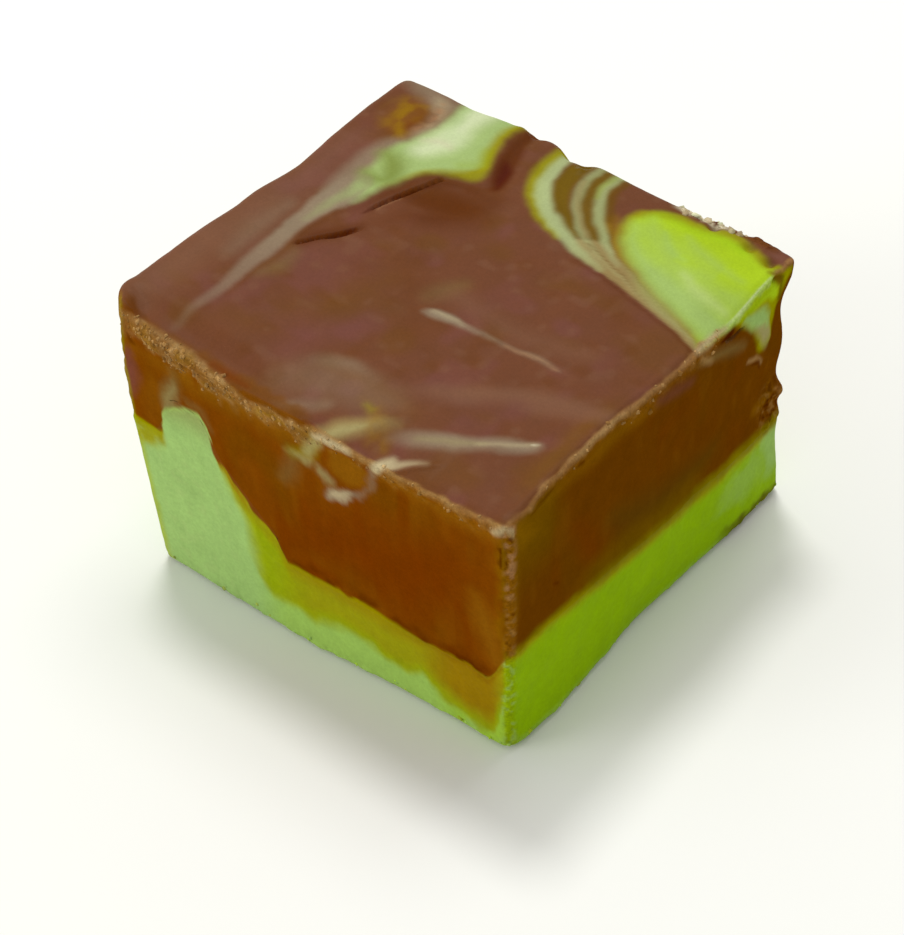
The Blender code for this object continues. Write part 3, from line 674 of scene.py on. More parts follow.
def paintFront(colours, u, z, below, front, points):
    borderX, borderZ = np.array(smearBorder).T
    over = z - (np.interp(u, borderX, borderZ) + 0.3 * grain(points, 1.0, 33) - 0.25)
    dragged = ramp(10.0, 12.2, u) * ramp(-0.6, 0.6, over) * ramp(-0.3, 0.25, below)
    darkEdge = ramp(12.0, 15.0, u) * ramp(33.4, 32.2, u) * ramp(-1.7, -0.5, below) * ramp(0.2, -0.4, below)
    green = np.maximum(0.85 * ramp(17.0, 12.0, u), 0.6 * ramp(1.6, 0.2, over))
    amber = 0.85 * ramp(25.0, 30.0, u) * ramp(0.8, 2.6, over) * ramp(34.6, 33.0, u)
    paintRules(colours, frontRules, {
        "x": u, "z": z, "below": below, "darkEdge": darkEdge, "dragged": dragged,
        "oliveBlock": ramp(3.5, 3.1, u) * ramp(10.6, 12.2, z - 0.45 * u + 0.3 * grain(points, 0.9, 33)),
        "shoulder": ramp(8.4, 9.6, u) * ramp(-0.2, 0.2, below) * ramp(15.0, 13.4, u),
        "greener": np.maximum(green, 0.9 * ramp(32.6, 33.8, u) * ramp(6.0, 4.0, z)),
        "ambery": np.maximum(amber, 0.4 * ramp(2.0, 0.3, below)),
        "strip": ramp(10.0, 14.0, u) * (1 - front * dragged) * ramp(0.0, 0.4, below)}, points, front)


def paintRight(colours, v, z, below, right, points):
    cloud = uneven(points, "pale clouds")
    pale = 0.35 * ramp(2.6, 0.4, np.hypot(0.6 * (v - 27.6), z - 5.4) + cloud)
    pale = np.maximum(pale, 0.7 * ramp(29.0, 31.8, v + cloud) * ramp(2.4, 4.6, z + cloud))
    paintRules(colours, rightRules, {
        "y": v, "z": z, "below": below, "chocolate": below < 0, "pale": pale,
        "ragged": z + uneven(points, "far foot")}, points, right)


def colourFudge(points, outward, interface):
    # the colour of every point of the skin, from the marks of the faces it belongs to
    x, y, z = points.T
    wander = [0.13 * grain(points, 1.4, seed) + 0.07 * grain(points, 0.55, seed + 5) for seed in (11, 12, 13)]
    u, v, w = x + wander[0], y + wander[1], z + wander[2]
    top = ramp(0.25, 0.75, outward[:, 2])
    front, right, left, back = (ramp(0.35, 0.7, facing) * (1 - top) for facing in (
        -outward[:, 1], outward[:, 0], -outward[:, 0], outward[:, 1]))
    colours = np.tile(linear(palette["cut"]), (len(points), 1))
    drags = stretched(points, 0.35)
    paintRules(colours, groundRules, {
        "top": top, "right": right, "cut": 1 - top,
        "redDrags": ramp(0.05, 0.7, grain(drags, 1.3, 22)) * (1 - 0.6 * right),
        "amberDrags": ramp(0.15, 0.7, grain(drags, 0.9, 23))}, points)

    # the marks of the sides, then the mint below its border
    torn = [0.13 * grain(points, 0.4, seed) for seed in (14, 15)]
    paintMarks(colours, frontMarks, u + torn[0], w + torn[1], front)
    paintMarks(colours, rightMarks, v, w, right)
    border = interface + uneven(points, "border")
    border -= 0.8 * front * ramp(8.4, 9.6, u) * ramp(15.0, 13.6, u)
    finger = np.interp(u, *np.array(fingerBorder).T) + 0.12 * grain(points, 0.8, 31)
    border += (finger - border) * front * ramp(9.3, 8.5, u)
    below = border - z
    for name, cover in (("front", front), ("right", right), ("left", left), ("back", back)):
        look = sideLooks[name]
        paint(colours, "smear", ramp(*look["blend"], below) * cover)
        paint(colours, look["mint"], ramp(*look["clear"], below) * cover)
    paintFront(colours, u, z, below, front, points)
    paintRight(colours, v, z, below, right, points)
    paintRules(colours, sugarRules, {
        "x": u, "deep": below > 0.8, "frontLeft": front + left, "rightBack": right + back}, points)

    # the marbling of the top runs a little way down the back, which was cut through it
    depthDown = height - z
    down = ramp(7.5, 2.5, depthDown + 2.5 * grain(points, 4.0, 41))
    u, v = u + 0.15 * depthDown, np.minimum(v, depth - 0.2)
    paintMarks(colours, topMarks, u, v, np.maximum(top, back * down))
    return colours


# How crumbly the edges are. A ridge of crumbs runs along each top edge. Unrolled over the edge
# (mm below it, less than nothing on the top), it starts at one line, holds to a second and has
# faded out at a third. A row has a place along the edge, these three lines and the strength there.
ridges = {
    "front": {"streak": 0.6, "crestAt": (16, 20), "crestEnd": (1.3, 1), "rows": (
        (0.3, 0.9, 1.4, 3.4, 0.5), (1.4, 0.6, 1.3, 2.9, 0.5), (2.6, 0.2, 1.3, 2.6, 0.6),
        (4, -0.3, 1.4, 2.7, 0.85), (6, -0.5, 1.9, 3.3, 1), (7.5, -0.6, 1, 2.8, 0.9),
        (9, -0.4, 2.5, 3.9, 0.9), (10.5, -0.1, 2.1, 3.9, 0.9), (12, 0.4, 2.3, 3.8, 0.9),
        (13.2, 1.2, 2.1, 3.6, 0.8), (14.5, 0.9, 1.8, 3.3, 0.9), (16.5, 1, 1.9, 3.2, 0.9),
        (17.8, 1, 2.1, 3.4, 1), (19, 0.3, 1.2, 2.8, 1), (21, 0.2, 0.6, 2, 1), (25, 0.1, 0.4, 2.3, 1),
        (28, 0.1, 0.4, 2, 1), (34.6, -0.1, 0.7, 2, 1))},
    "right": {"streak": 0.25, "crestAt": (0, 1), "crestEnd": (0.85, 0.85), "rows": (
        (0, -0.1, 0.5, 1.2, 0.6), (1.5, -0.1, 0.3, 1, 0.25), (2.5, 0.2, 0.6, 1.1, 0.5),
        (4, -0.1, 0.3, 0.9, 0.6), (6, 0, 0.5, 1.1, 0.9), (8, 0, 0.7, 1.1, 1), (12.5, 0, 0.7, 1.1, 1),
        (14, 0.1, 0.8, 1.9, 0.9), (16, 0, 0.7, 1.8, 0.85), (18, 0.05, 0.6, 1.6, 0.7),
        (20, 0.1, 1, 2.3, 0.8), (22, -0.3, 0.9, 2.2, 0.9), (23.5, -0.2, 0.6, 1.2, 0.8),
        (25.2, -0.2, 0.2, 0.6, 0.7), (33.4, -0.2, 0.2, 0.6, 0.8))},
}


# Where the other crumbly places lie (mm). Most pairs say where one begins and where it is full.
edgeSpans = {
    "valleyStart": (0.4, 1.6), "valleyEnd": (18.5, 16.5),
    "cornerAboveMint": 10.6, "cornerHalfWidth": 0.55, "leftCornerFrom": 12,
    "rimStart": (24.4, 25.4), "rimEnd": (33.6, 32.4), "rimDown": (1.6, 0.9), "rimWidth": 0.9,
    "bumpAt": (31.6, 10.6), "bumpReach": (1.9, 2.4),
    "foot": (1.4, 0.3),
    "poolStart": (23.8, 25.4), "poolEnd": (31, 30.2), "poolFrom": 30,
    "thick": (20, 17),
}


def edgeBands(points, outward):
    # 0 to 1: on the ridges along the top edges, down the corners, and at the foot
    x, y, z = points.T
    ragged, spans = uneven(points, "edges"), edgeSpans
    bands = {}
    for name, along, across, away in (("front", x, y, np.abs(outward[:, 0])),
                                      ("right", y, width - x, -outward[:, 1])):
        ridge = ridges[name]
        at, *columns = zip(*ridge["rows"])
        start, hold, end, strong = (np.interp(along, at, column) for column in columns)
        down = (height - z) - across
        near = strong * (across < 2.0) * ramp(0.95, 0.6, away)
        bands[name + "Swell"] = near * ramp(-0.4, 0.4, down - start) * ramp(end, hold, down)
        down = down + 0.6 * ragged
        streak = ridge["streak"] * grain(stretched(points, 0.35), 0.55, 53)
        band = near * ramp(-0.22, 0.22, down - start) * ramp(end, hold, down + streak) ** 0.7
        bands[name] = band * (0.85 + 0.3 * np.clip(grain(points, 1.3, 54), -1, 0.5))
        crestEnd = np.interp(along, ridge["crestAt"], ridge["crestEnd"])
        bands[name + "Crest"] = bands[name] * ramp(crestEnd, 0.2 * crestEnd, down - start)
    # the dark valley on the top behind the front ridge
    onTop = y - (height - z)
    bands["valley"] = ramp(1.0, 0.4, onTop + ragged) * ramp(-1.6, -1.0, onTop) * (height - z < 2.0)
    bands["valley"] *= ramp(*spans["valleyStart"], x) * ramp(*spans["valleyEnd"], x) * (1 - bands["front"])
    # the upright corner at the front, which leans to the right face above the mint, and the left one
    away = np.abs(np.where(z > spans["cornerAboveMint"], 0.3, 0.1) + (width - x) - y)
    bands["corner"] = ramp(0.3, -0.3, away - spans["cornerHalfWidth"] - 0.5 * ragged)
    bands["corner"] *= (x > width - 2) * (y < 2)
    bands["corner"] *= ramp(0.7, 0.2, np.minimum(width - x, y)) * ramp(-0.1, 0.5, height - z)
    bands["leftCorner"] = 0.5 * ramp(0.2, -0.3, np.maximum(x, y) - 0.8 * (0.65 + 0.45 * ragged))
    bands["leftCorner"] *= (x < width / 2) * (z > spans["leftCornerFrom"])
    # the sugary rim behind the pool, the torn bump at the back corner, and the foot
    bands["backRim"] = ramp(0.3, -0.3, depth - y - spans["rimWidth"] - 0.6 * ragged)
    bands["backRim"] *= ramp(*spans["rimStart"], x) * ramp(*spans["rimEnd"], x)
    bands["backRim"] *= ramp(*spans["rimDown"], height - z)
    fromBump = (points[:, 1:] - np.array(spans["bumpAt"])) / np.array(spans["bumpReach"])
    bump = np.linalg.norm(fromBump, axis=1) - 1.0
    bands["bump"] = ramp(0.4, -0.4, bump - 0.3 * ragged) * (x > width - 3)
    bands["foot"] = ramp(*spans["foot"], z + 0.6 * ragged)
    return bands


# Marks on the ridges: the first number runs along the edge, the second is unrolled over it (mm).
edgeMarks = {
    "front": {
        # painted shade in a hollow of the ridge
        "dark hollow": ("fold", 0.3, 0.8, [(1.3, 2.6, 0.1), (1.5, 3, 0.25), (1.9, 3, 0.1)]),
        "dark behind the ridge": ("cutRed", 0.4, 0.7, [(9.4, -0.5, 0.2), (11, -0.4, 0.3), (12.6, -0.2, 0.2)]),
        "amber hollow": ("amberCut", 0.6, 0.8, [(6.6, 3.2, 0.4), (7, 2.2, 0.4), (7.2, 1.4, 0.1)]),
        "brown hollow": ("cut", 0.25, 0.7, [(7.6, 3.8, 0.15), (7.7, 2.6, 0.15), (7.8, 1.8, 0.05)]),
        "olive in the ridge": ("amber", 0.4, 0.5, [(13.6, 2.6, 0.3), (14, 1.8, 0.3), (16, 1.8, 0.2)]),
        "cream crest": ("cream", 0.35, 0.85, [(18.8, 1.3, 0.3, 0.8), (19.6, 1, 0.4), (20.6, 0.8, 0.35),
            (21.6, 0.6, 0.3, 0.8)]),
        "curl stem low": ("greyPale", 0.5, 0.5, [(18.8, 2, 0.4), (18.2, 2.8, 0.4), (17.9, 3.6, 0.3)]),
        "cream knot": ("cream", 0.3, 0.95, [(24.8, -0.7, 0.3, 0.8), (24.3, -0.1, 0.35), (24, 0.6, 0.4),
            (23.8, 1.2, 0.25, 0.8)]),
        "knot stem": ("grey", 0.3, 0.35, [(23.7, 1.8, 0.2), (23.6, 2.8, 0.2),
            (23.5, 3.6, 0.15)], {"broken": 0.6}),
        "meeting of the ridges": ("cream", 0.4, 0.75, [(33.6, 0.9, 0.2), (34.2, 0.6, 0.3), (34.5, 0.2, 0.2)]),
        "dark specks": ("pit", 0.15, 0.9, [(34, 2.4, 0.12), (34.1, 3, 0.05), (34, 3.7, 0.12),
            (34.1, 4.2, 0.03)]),
    },
    "right": {
        "pale crest": ("ridgeLight", 0.25, 0.7, [(7.4, 0.4, 0.1), (9, 0.3, 0.2), (11.6, 0.3, 0.2),
            (12.8, 0.4, 0.1)]),
        # painted shade under the crest
        "dark under the crest": ("pit", 0.2, 0.6, [(2.6, 1.1, 0.05), (3.8, 0.9, 0.1), (5, 0.9, 0.05)]),
        "dark dot": ("pit", 0.2, 0.7, [(7.6, 1, 0.1), (8.1, 1.1, 0.1)]),
        "pale end of the ridge": ("cream", 0.4, 0.6, [(21.2, 0.2, 0.3), (22.4, 0.1, 0.4), (23.2, -0.1, 0.3),
            (24.6, 0, 0.2)]),
        "pale crumbs": ("ridgeLight", 0.4, 0.5, [(21.4, 1.2, 0.2), (22.2, 2, 0.3), (22.6, 2.6, 0.1)]),
        # painted shade in a hole
        "hole": ("pit", 0.25, 0.95, [(24, 1.3, 0.1), (24.7, 1.3, 0.25), (25.3, 1, 0.1)]),
        "olive under the line": ("smearGreen", 0.4, 0.6, [(26.4, 0.9, 0.2), (28, 0.9, 0.3), (29.8, 1, 0.2)]),
        "pale line": ("flare", 0.14, 0.6, [(25, -0.1, 0.05), (27, -0.15, 0.1), (28.8, -0.15, 0.08),
            (30.2, -0.1, 0.04)]),
        "end crumbs": ("valley", 0.3, 0.8, [(30.4, -0.6, 0.1), (30.8, 0.4, 0.25), (31, 1.2, 0.2)]),
    },
}

# The crumbs of the ridges, corners, rim and bump. The ridge keeps the green of the pool where it
# runs past it, as a thin pale line.
crumbleRules = [
    ("valley", 0.65, "valley"),
    # painted shade in the hollow at the left end of the valley
    ("fold", 0.6, "valley", ("fromHollow", 1.6, 0.4)),
    ("amberCut", 0.6, "thin"),
    ("ridge", 0.5, "thin", ("mix", -0.1, 0.4)),
    ("ridge", 0.9, "raised"),
    ("ridgePink", 0.5, "rightCrest", "offPool", "chocolate"),
    ("ridgeLight", 1, "lit"),
    ("amber", 0.4, "crumbly", (1.1, 63, 0, 0.7)),
    # painted shade in the gaps between the crumbs, as are the pit rules of the corner, rim and bump below
    ("ridgePit", 0.6, "crumbly", "offCrest", ("mix", -0.05, -0.45)),
    ("mintShore", 0.8, "right", "pool", "chocolate"),
    ("flare", 0.35, "right", "pool", ("mix", 0.1, 0.6)),
    ("amberCut", 0.75, "corner", "chocolate"),
    ("ridge", 0.8, "corner", "chocolate", ("mix", -0.1, 0.4)),
    ("ridgePink", 0.6, "corner", "chocolate", ("z", 16, 19), ("fine", 0, 0.4)),
    ("pit", 0.7, "corner", "chocolate", ("mix", -0.3, -0.6)),
    ("smearGreen", 0.6, "corner", "mint"),
    ("mint", 0.5, "corner", "mint", ("mix", 0, 0.5)),
    ("sugar", 0.9, "backRim", ("x", 30, 28.6), ("mix", -0.6, -0.2)),
    ("skinWarm", 0.9, "backRim", ("x", 28.6, 30)),
    ("pit", 0.8, "backRim", ("mix", -0.4, -0.65)),
    ("ridgeLight", 0.6, "backRim", ("x", 28.6, 30), ("mix", 0.35, 0.6)),
    ("ridge", 0.6, "bump", ("mix", -0.1, 0.4)),
    ("pit", 0.7, "bump", ("mix", -0.1, -0.5)),
]


def crumbleColours(colours, points, bands, interface):
    x, y, z = points.T
    spans = edgeSpans
    fine, finer = grain(points, 0.5, 61), grain(points, 0.3, 62)
    mix = 0.5 * fine + 0.5 * finer
    chocolateHere = ramp(-0.2, 0.3, z - interface)
    pool = ramp(*spans["poolStart"], y) * ramp(*spans["poolEnd"], y) * (x > spans["poolFrom"])
    thick = ramp(*spans["thick"], x)
    crumbly = np.clip(bands["front"] * thick + bands["leftCorner"], 0, 1) * chocolateHere
    thin = np.clip(bands["front"] * (1 - thick) + bands["right"] * (1 - pool), 0, 1) * chocolateHere
    crest = np.clip(bands["frontCrest"] + bands["rightCrest"] * (1 - pool), 0, 1) * chocolateHere
    crest = crest * (0.8 + 0.5 * mix)
    paintRules(colours, crumbleRules, {
        **bands, "x": x, "z": z, "fine": fine, "mix": mix, "fromHollow": np.abs(x - 1.9),
        "chocolate": chocolateHere, "mint": 1 - chocolateHere, "pool": pool, "offPool": 1 - pool,
        "crumbly": crumbly, "thin": thin, "raised": np.maximum(crumbly, crest), "offCrest": 1 - 0.6 * crest,
        "lit": 0.4 * crest + 0.45 * crumbly * ramp(0.05, 0.5, mix)}, points)
    for edge, along, across, other in (("front", x, y, width - x), ("right", y, width - x, y)):
        here = across < np.minimum(3.0, other + 0.9)
        paintMarks(colours, edgeMarks[edge], along, height - z - across, here)


# Relief of the skin (mm, out of the surface), on top of the bent block: dents and knobs with
# their middle, reach and height, and marks that start with a height in place of a colour.
pits = {
    "rim hole": ((28.2, 32.4, 24.6), 0.45, -0.6), "rim notch": ((27.1, 33.2, 24.6), 0.4, -0.5),
    "cap pit": ((31.4, 31.9, 24.6), 0.5, -0.5), "cap pit right": ((33.4, 31.4, 24.6), 0.5, -0.55),
    "corner pit": ((34.6, 30.6, 24), 0.45, -0.5), "back notch": ((12.3, 33.4, 24.6), 0.6, -0.5),
    "back nick": ((17.1, 32.5, 24.6), 0.45, -0.45), "back crumb": ((17.2, 31.4, 24.6), 0.4, 0.2),
    "corner dent": ((2.6, 0.9, 24.6), 0.9, -0.3), "corner knob": ((0.2, 1.4, 23.9), 1.3, 0.45),
    "back right edge": ((34.6, 33, 19.6), 2.8, -0.8), "bump fallen in": ((35.2, 31.8, 10.6), 2, -0.5),
    "back corner": ((0.3, 33.6, 24.6), 1.4, -0.3),
}
reliefMarks = {
    "top": {
        "upper crease": (-0.42, 0.16, 1, [(10.1, 24.5, 0.1), (9.5, 22.6, 0.16), (9, 21.2, 0.14),
            (8.2, 18.8, 0.08)]),
        "crease lip": (0.12, 0.2, 1, [(9.6, 20.6, 0.05), (9.9, 22.6, 0.1), (10.5, 24.4, 0.05)]),
        "lower crease": (-0.4, 0.18, 1, [(9, 16.6, 0.06), (8.2, 15, 0.18), (7.4, 13.9, 0.08),
            (6.6, 12.5, 0.05)]),
        "dark fold": (-0.3, 0.9, 1, [(12.2, 33.6, 0.3), (12.2, 30.6, 0.3), (13.2, 28, 0.4), (13.2, 26, 0.3),
            (10.4, 25, 0.2)]),
        "flare bank": (0.18, 0.7, 1, [(10.9, 33.6, 0.2), (11, 30.4, 0.2), (12, 28, 0.2), (11.6, 26.6, 0.1),
            (9, 24.6, 0.2), (7.3, 21.5, 0.2), (6.4, 18, 0.1), (6.1, 13, 0.1)]),
        "stripe A": (0.08, 0.4, 1, [(16.2, 33.6, 0.4), (16.3, 30, 0.4), (18.6, 26.6, 0.3), (24, 24.4, 0.2)]),
        "middle streak": (0.09, 0.3, 1, [(18, 12.7, 0.2), (20.4, 13.1, 0.25), (24, 13.3, 0.1),
            (28.6, 14, 0.05)]),
        "front streak": (0.1, 0.4, 1, [(24, 1.6, 0.4), (27, 3.4, 0.5), (29.8, 5.2, 0.35), (32.1, 7.1, 0.25)]),
        "tan streak": (0.08, 0.35, 1, [(20.3, -0.2, 0.4), (22.4, 2.7, 0.4), (23.6, 3.9, 0.2)]),
        "cream streak": (0.14, 0.2, 1, [(24.9, -0.3, 0.25), (26, 0.6, 0.2), (27.8, 2, 0.08)]),
        "hollow behind the ridge": (-0.25, 0.9, 1, [(0.8, 1.6, 0.2), (6, 1.6, 0.5), (12, 1.3, 0.4),
            (18, 1.1, 0.1)]),
        "hollow at the right": (-0.12, 0.5, 1, [(33.7, 2, 0.1), (33.8, 12, 0.1), (33.6, 20, 0.1)]),
        "tail groove": (-0.1, 0.3, 1, [(23, 23.8, 0.05), (28, 22.7, 0.05), (34, 21, 0.05)]),
        "tail groove far": (-0.1, 0.3, 1, [(26, 26, 0.05), (29.4, 24.3, 0.05), (34, 22.6, 0.05)]),
    },
    "right": {
        "slit": (-0.5, 0.14, 1, [(24.4, 22.95, 0.05), (25.3, 22.75, 0.16), (26.4, 22.6, 0.08)]),
        "scraped": (0.15, 0.5, 1, [(22, 23.2, 0.3), (24, 22.2, 0.4), (26.5, 21.6, 0.2)]),
        "green tail": (0.12, 0.4, 1, [(27, 22.8, 0.2), (29.4, 20.6, 0.3), (30.6, 18.4, 0.3)]),
    },
    "front": {
        "curl": (0.12, 0.4, 1, [(17.6, 17.2, 0.2), (19.4, 18.5, 0.3), (21.5, 19.9, 0.15),
            (22.2, 22.4, 0.15)]),
        "smear": (0.1, 0.5, 1, [(11.6, 9.6, 0.1), (13, 7.4, 0.15), (22, 7.8, 0.15), (33, 8.2, 0.1)]),
    },
}


def skinRelief(points, outward, bands):
    x, y, z = points.T
    top = ramp(0.25, 0.75, outward[:, 2])
    side = 1 - top
    relief = top * uneven(points, "poured skin")
    relief += side * (uneven(points, "cut skin") + uneven(stretched(points, 0.12), "upright drags"))
    for face, u, v, cover in (("top", x, y, top), ("right", y, z, side * (outward[:, 0] > 0.5)),
                              ("front", x, z, side * (outward[:, 1] < -0.5))):
        for mark in reliefMarks[face].values():
            relief += mark[0] * coverOf(mark, u, v) * cover
    for middle, reach, rise in pits.values():
        relief += rise * np.exp(-((points - np.array(middle)) ** 2).sum(axis=1) / reach ** 2)
    rough = uneven(points, "crumbs")
    thick = ramp(*edgeSpans["thick"], x)
    swell = np.clip(bands["frontSwell"] * (0.6 + 0.4 * thick) + 0.45 * bands["rightSwell"], 0, 1)
    relief += swell * (0.14 + rough) + 0.6 * bands["corner"] * rough + bands["leftCorner"] * rough
    relief += bands["backRim"] * (1.5 * rough) + bands["bump"] * (0.1 + 1.2 * rough)
    relief += bands["foot"] * (0.5 * rough) * np.clip(z / 0.4, 0, 1)
    return relief * (np.abs(outward).sum(axis=1) > 0)


def layLayer(piece, heights):
    # where every point of the cut-up cube lies in the true block and in the cut square
    unit = readPoints(piece)
    x, y = unit[:, 0] * width, unit[:, 1] * depth
    interface = mintTop(x, y)
    low, high = heights(interface)
    points = np.column_stack((x, y, low + (high - low) * unit[:, 2]))
    placed, outward = asCut(points)
    return {"piece": piece, "points": points, "placed": placed, "outward": outward, "interface": interface}


def finishLayer(skin, middle):
    # relief and colour, with the square's middle moved to the middle of the frame
    piece, points, outward = skin["piece"], skin["points"], skin["outward"]
    bands = edgeBands(points, outward)
    relief = skinRelief(points, outward, bands)
    relief[outward[:, 2] < -0.5] = 0.0
    colours = colourFudge(points, outward, skin["interface"])
    crumbleColours(colours, points, bands, skin["interface"])
    placed = skin["placed"] + outward * relief[:, None] - middle
    crumbly = sum(bands[name] for name in ("front", "right", "corner", "leftCorner", "backRim", "bump"))
    writePoints(piece, placed * mm)
    writeField(piece, "fudgeColour", colours)
    writeField(piece, "crumbly", np.clip(crumbly + 0.5 * bands["foot"], 0, 1))
    skin.update({"placed": placed, "bands": bands, "colours": colours,
                 "onSkin": np.abs(outward).sum(axis=1) > 0})
    bpy.ops.object.select_all(action="DESELECT")
    piece.select_set(True)
    bpy.context.view_layer.objects.active = piece
    bpy.ops.object.shade_smooth_by_angle(angle=math.radians(block["smoothAngle"]))


def addNode(tree, kind, settings=None, inputs=None):
    # one node with its settings; an input is a number, or the socket that feeds it
    node = tree.nodes.new("ShaderNode" + kind)
    for name, value in (settings or {}).items():
        setattr(node, name, value)
    for name, value in (inputs or {}).items():
        if isinstance(value, bpy.types.NodeSocket):
            tree.links.new(value, node.inputs[name])
        else:
            node.inputs[name].default_value = value
    return node


def fudgeMaterial(name, look):
    material = bpy.data.materials.new(name)
    material.use_nodes = True
    tree = material.node_tree
    tree.nodes.clear()
    place = addNode(tree, "TexCoord").outputs["Object"]
    colour = addNode(tree, "Attribute", {"attribute_name": "fudgeColour"}).outputs["Color"]
    crumbly = addNode(tree, "Attribute", {"attribute_name": "crumbly"}).outputs["Fac"]

    def noiseOf(size, detail, rough):
        # Object coordinates are metres, sizes are mm
        return addNode(tree, "TexNoise", None, {
            "Vector": place, "Scale": 1000.0 / size, "Detail": detail, "Roughness": rough}).outputs["Fac"]

    def spread(value, low, high):
        # the middle of a noise, widened to run from low to high
        return addNode(tree, "MapRange", None, {
            "Value": value, "From Min": 0.3, "From Max": 0.7, "To Min": low, "To Max": high}).outputs[0]

    def mathOf(operation, *values, **settings):
        return addNode(tree, "Math", {"operation": operation, **settings}, dict(enumerate(values))).outputs[0]

    # cloudy tone of the mass, and sugar grains that catch the light with dark gaps between them
    cloud = noiseOf(look["cloudSize"], 4.0, 0.6)
    cloudTone = spread(cloud, look["tone"] - look["cloudTone"], look["tone"] + look["cloudTone"])
    speckReach = mathOf("MULTIPLY_ADD", crumbly, look["crumbTone"], look["speckTone"])
    speck = spread(noiseOf(look["speckSize"], 2.0, 0.7), -1.0, 1.0)
    speckTone = mathOf("MULTIPLY_ADD", speck, speckReach, 1.0)
    toned = addNode(tree, "VectorMath", {"operation": "SCALE"}, {
        0: colour, "Scale": mathOf("MULTIPLY", cloudTone, speckTone)})
    roughCloud = spread(cloud, look["roughness"] - 0.06, look["roughness"] + 0.08)
    roughness = mathOf("MULTIPLY_ADD", crumbly, 0.25, roughCloud, use_clamp=True)
    grainReach = mathOf("MULTIPLY_ADD", crumbly, look["crumbHeight"], look["grainHeight"])
    bumpHeight = mathOf("MULTIPLY", noiseOf(look["grainSize"], 3.0, 0.65), grainReach)
    bump = addNode(tree, "Bump", None, {"Height": bumpHeight, "Strength": 1.0, "Distance": mm})
    shader = addNode(tree, "BsdfPrincipled", None, {
        "Base Color": toned.outputs["Vector"], "Roughness": roughness, "Normal": bump.outputs["Normal"],
        "IOR": 1.46, "Specular IOR Level": look["gloss"]})
    addNode(tree, "OutputMaterial", None, {"Surface": shader.outputs["BSDF"]})
    return material


# Poured chocolate fudge: its skin dried in the air, so it is smooth, a little dusty and only
# softly shiny. Heights are mm.
pouredChocolate = fudgeMaterial("poured_chocolate_fudge", {
    "tone": 0.93, "cloudSize": 3.0, "cloudTone": 0.05, "speckSize": 0.22, "speckTone": 0.05,
    "crumbTone": 0.16, "roughness": 0.5, "grainSize": 0.3, "grainHeight": 0.02,
    "crumbHeight": 0.06, "gloss": 0.06})
# Cut chocolate fudge: the knife smears the fat, so it is deeper in colour and nearly dull.
cutChocolate = fudgeMaterial("cut_chocolate_fudge", {
    "tone": 1.0, "cloudSize": 1.8, "cloudTone": 0.07, "speckSize": 0.25, "speckTone": 0.06,
    "crumbTone": 0.16, "roughness": 0.6, "grainSize": 0.35, "grainHeight": 0.035,
    "crumbHeight": 0.06, "gloss": 0.0})
# Mint fudge: sugar paste coloured green, dull, with fine grains of sugar.
cutMint = fudgeMaterial("cut_mint_fudge", {
    "tone": 1.0, "cloudSize": 1.5, "cloudTone": 0.06, "speckSize": 0.3, "speckTone": 0.06,
    "crumbTone": 0.15, "roughness": 0.62, "grainSize": 0.4, "grainHeight": 0.05,
    "crumbHeight": 0.08, "gloss": 0.02})

chocolate = startLayer("chocolate_fudge", block["chocolateRows"], "below")
mint = startLayer("mint_fudge_base", block["mintRows"], "both")
print("layers cut into cells:", len(chocolate.data.vertices), len(mint.data.vertices))

chocolateSkin = layLayer(chocolate, lambda interface: (interface, height))
mintSkin = layLayer(mint, lambda interface: (0.0, interface))
everything = np.vstack((chocolateSkin["placed"], mintSkin["placed"]))
middle = (everything.min(axis=0) + everything.max(axis=0)) / 2 - (cadBox[0] + cadBox[1]) / 2 / mm
middle[2] = 0.0
for skin in (chocolateSkin, mintSkin):
    finishLayer(skin, middle)
chocolate.data.materials.append(pouredChocolate)
chocolate.data.materials.append(cutChocolate)
for face in chocolate.data.polygons:
    face.material_index = 0 if face.normal.z > block["skinFacing"] else 1
mint.data.materials.append(cutMint)
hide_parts("chocolate_layer")
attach(chocolate, "root")
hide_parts("mint_layer")
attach(mint, "root")
print("layers painted")

# Crumbs: a few dozen faces each, scattered over the crumbly places, most of them small.
crumbKinds = {
    "ridge_crumbs": {"count": 280, "size": (0.2, 0.46), "colours": ("ridgeLight", "ridge", "ridgeLight"),
                     "seed": 3, "skin": chocolateSkin, "bands": ("front", "frontCrest", "right"),
                     "material": cutChocolate, "slot": "chocolate_fudge"},
    "sugar_crumbs": {"count": 60, "size": (0.35, 0.9), "colours": ("sugar", "cream", "flare"),
                     "seed": 5, "skin": chocolateSkin, "bands": ("backRim",),
                     "material": cutMint, "slot": "chocolate_fudge"},
    "mint_crumbs": {"count": 70, "size": (0.25, 0.55), "colours": ("mintVivid", "mint", "smear"),
                    "seed": 7, "skin": mintSkin, "bands": ("foot",),
                    "material": cutMint, "slot": "mint_fudge"},
}
crumbLook = {
    "shapes": 6, "jagged": 0.16, "stretch": (0.7, 1.3),
    "sunk": 0.2,             # as a share of the crumb's size
    "fewLarge": 2.2,         # the higher, the more of them are small
    "ownColour": 0.5, "tone": (0.9, 1.3), "crumbly": 0.5,
    "poolFrom": (30, 24), "thickUpTo": 19, "thin": 0.4, "sugarUpTo": 30.5,
}


def crumbWeights(name, kind):
    # no crumbs beside the pool, and few on the thin part of the ridges
    skin, look = kind["skin"], crumbLook
    x, y = skin["points"][:, 0], skin["points"][:, 1]
    weight = np.clip(sum(skin["bands"][band] for band in kind["bands"]), 0, 1) * skin["onSkin"]
    weight = weight * (skin["outward"][:, 2] > -0.3)
    if name == "ridge_crumbs":
        weight = weight * ((x < look["poolFrom"][0]) | (y < look["poolFrom"][1]))
        weight = weight * np.where(x < look["thickUpTo"], 1.0, look["thin"])
    if name == "sugar_crumbs":
        weight = weight * (x < look["sugarUpTo"])
    return weight / weight.sum()


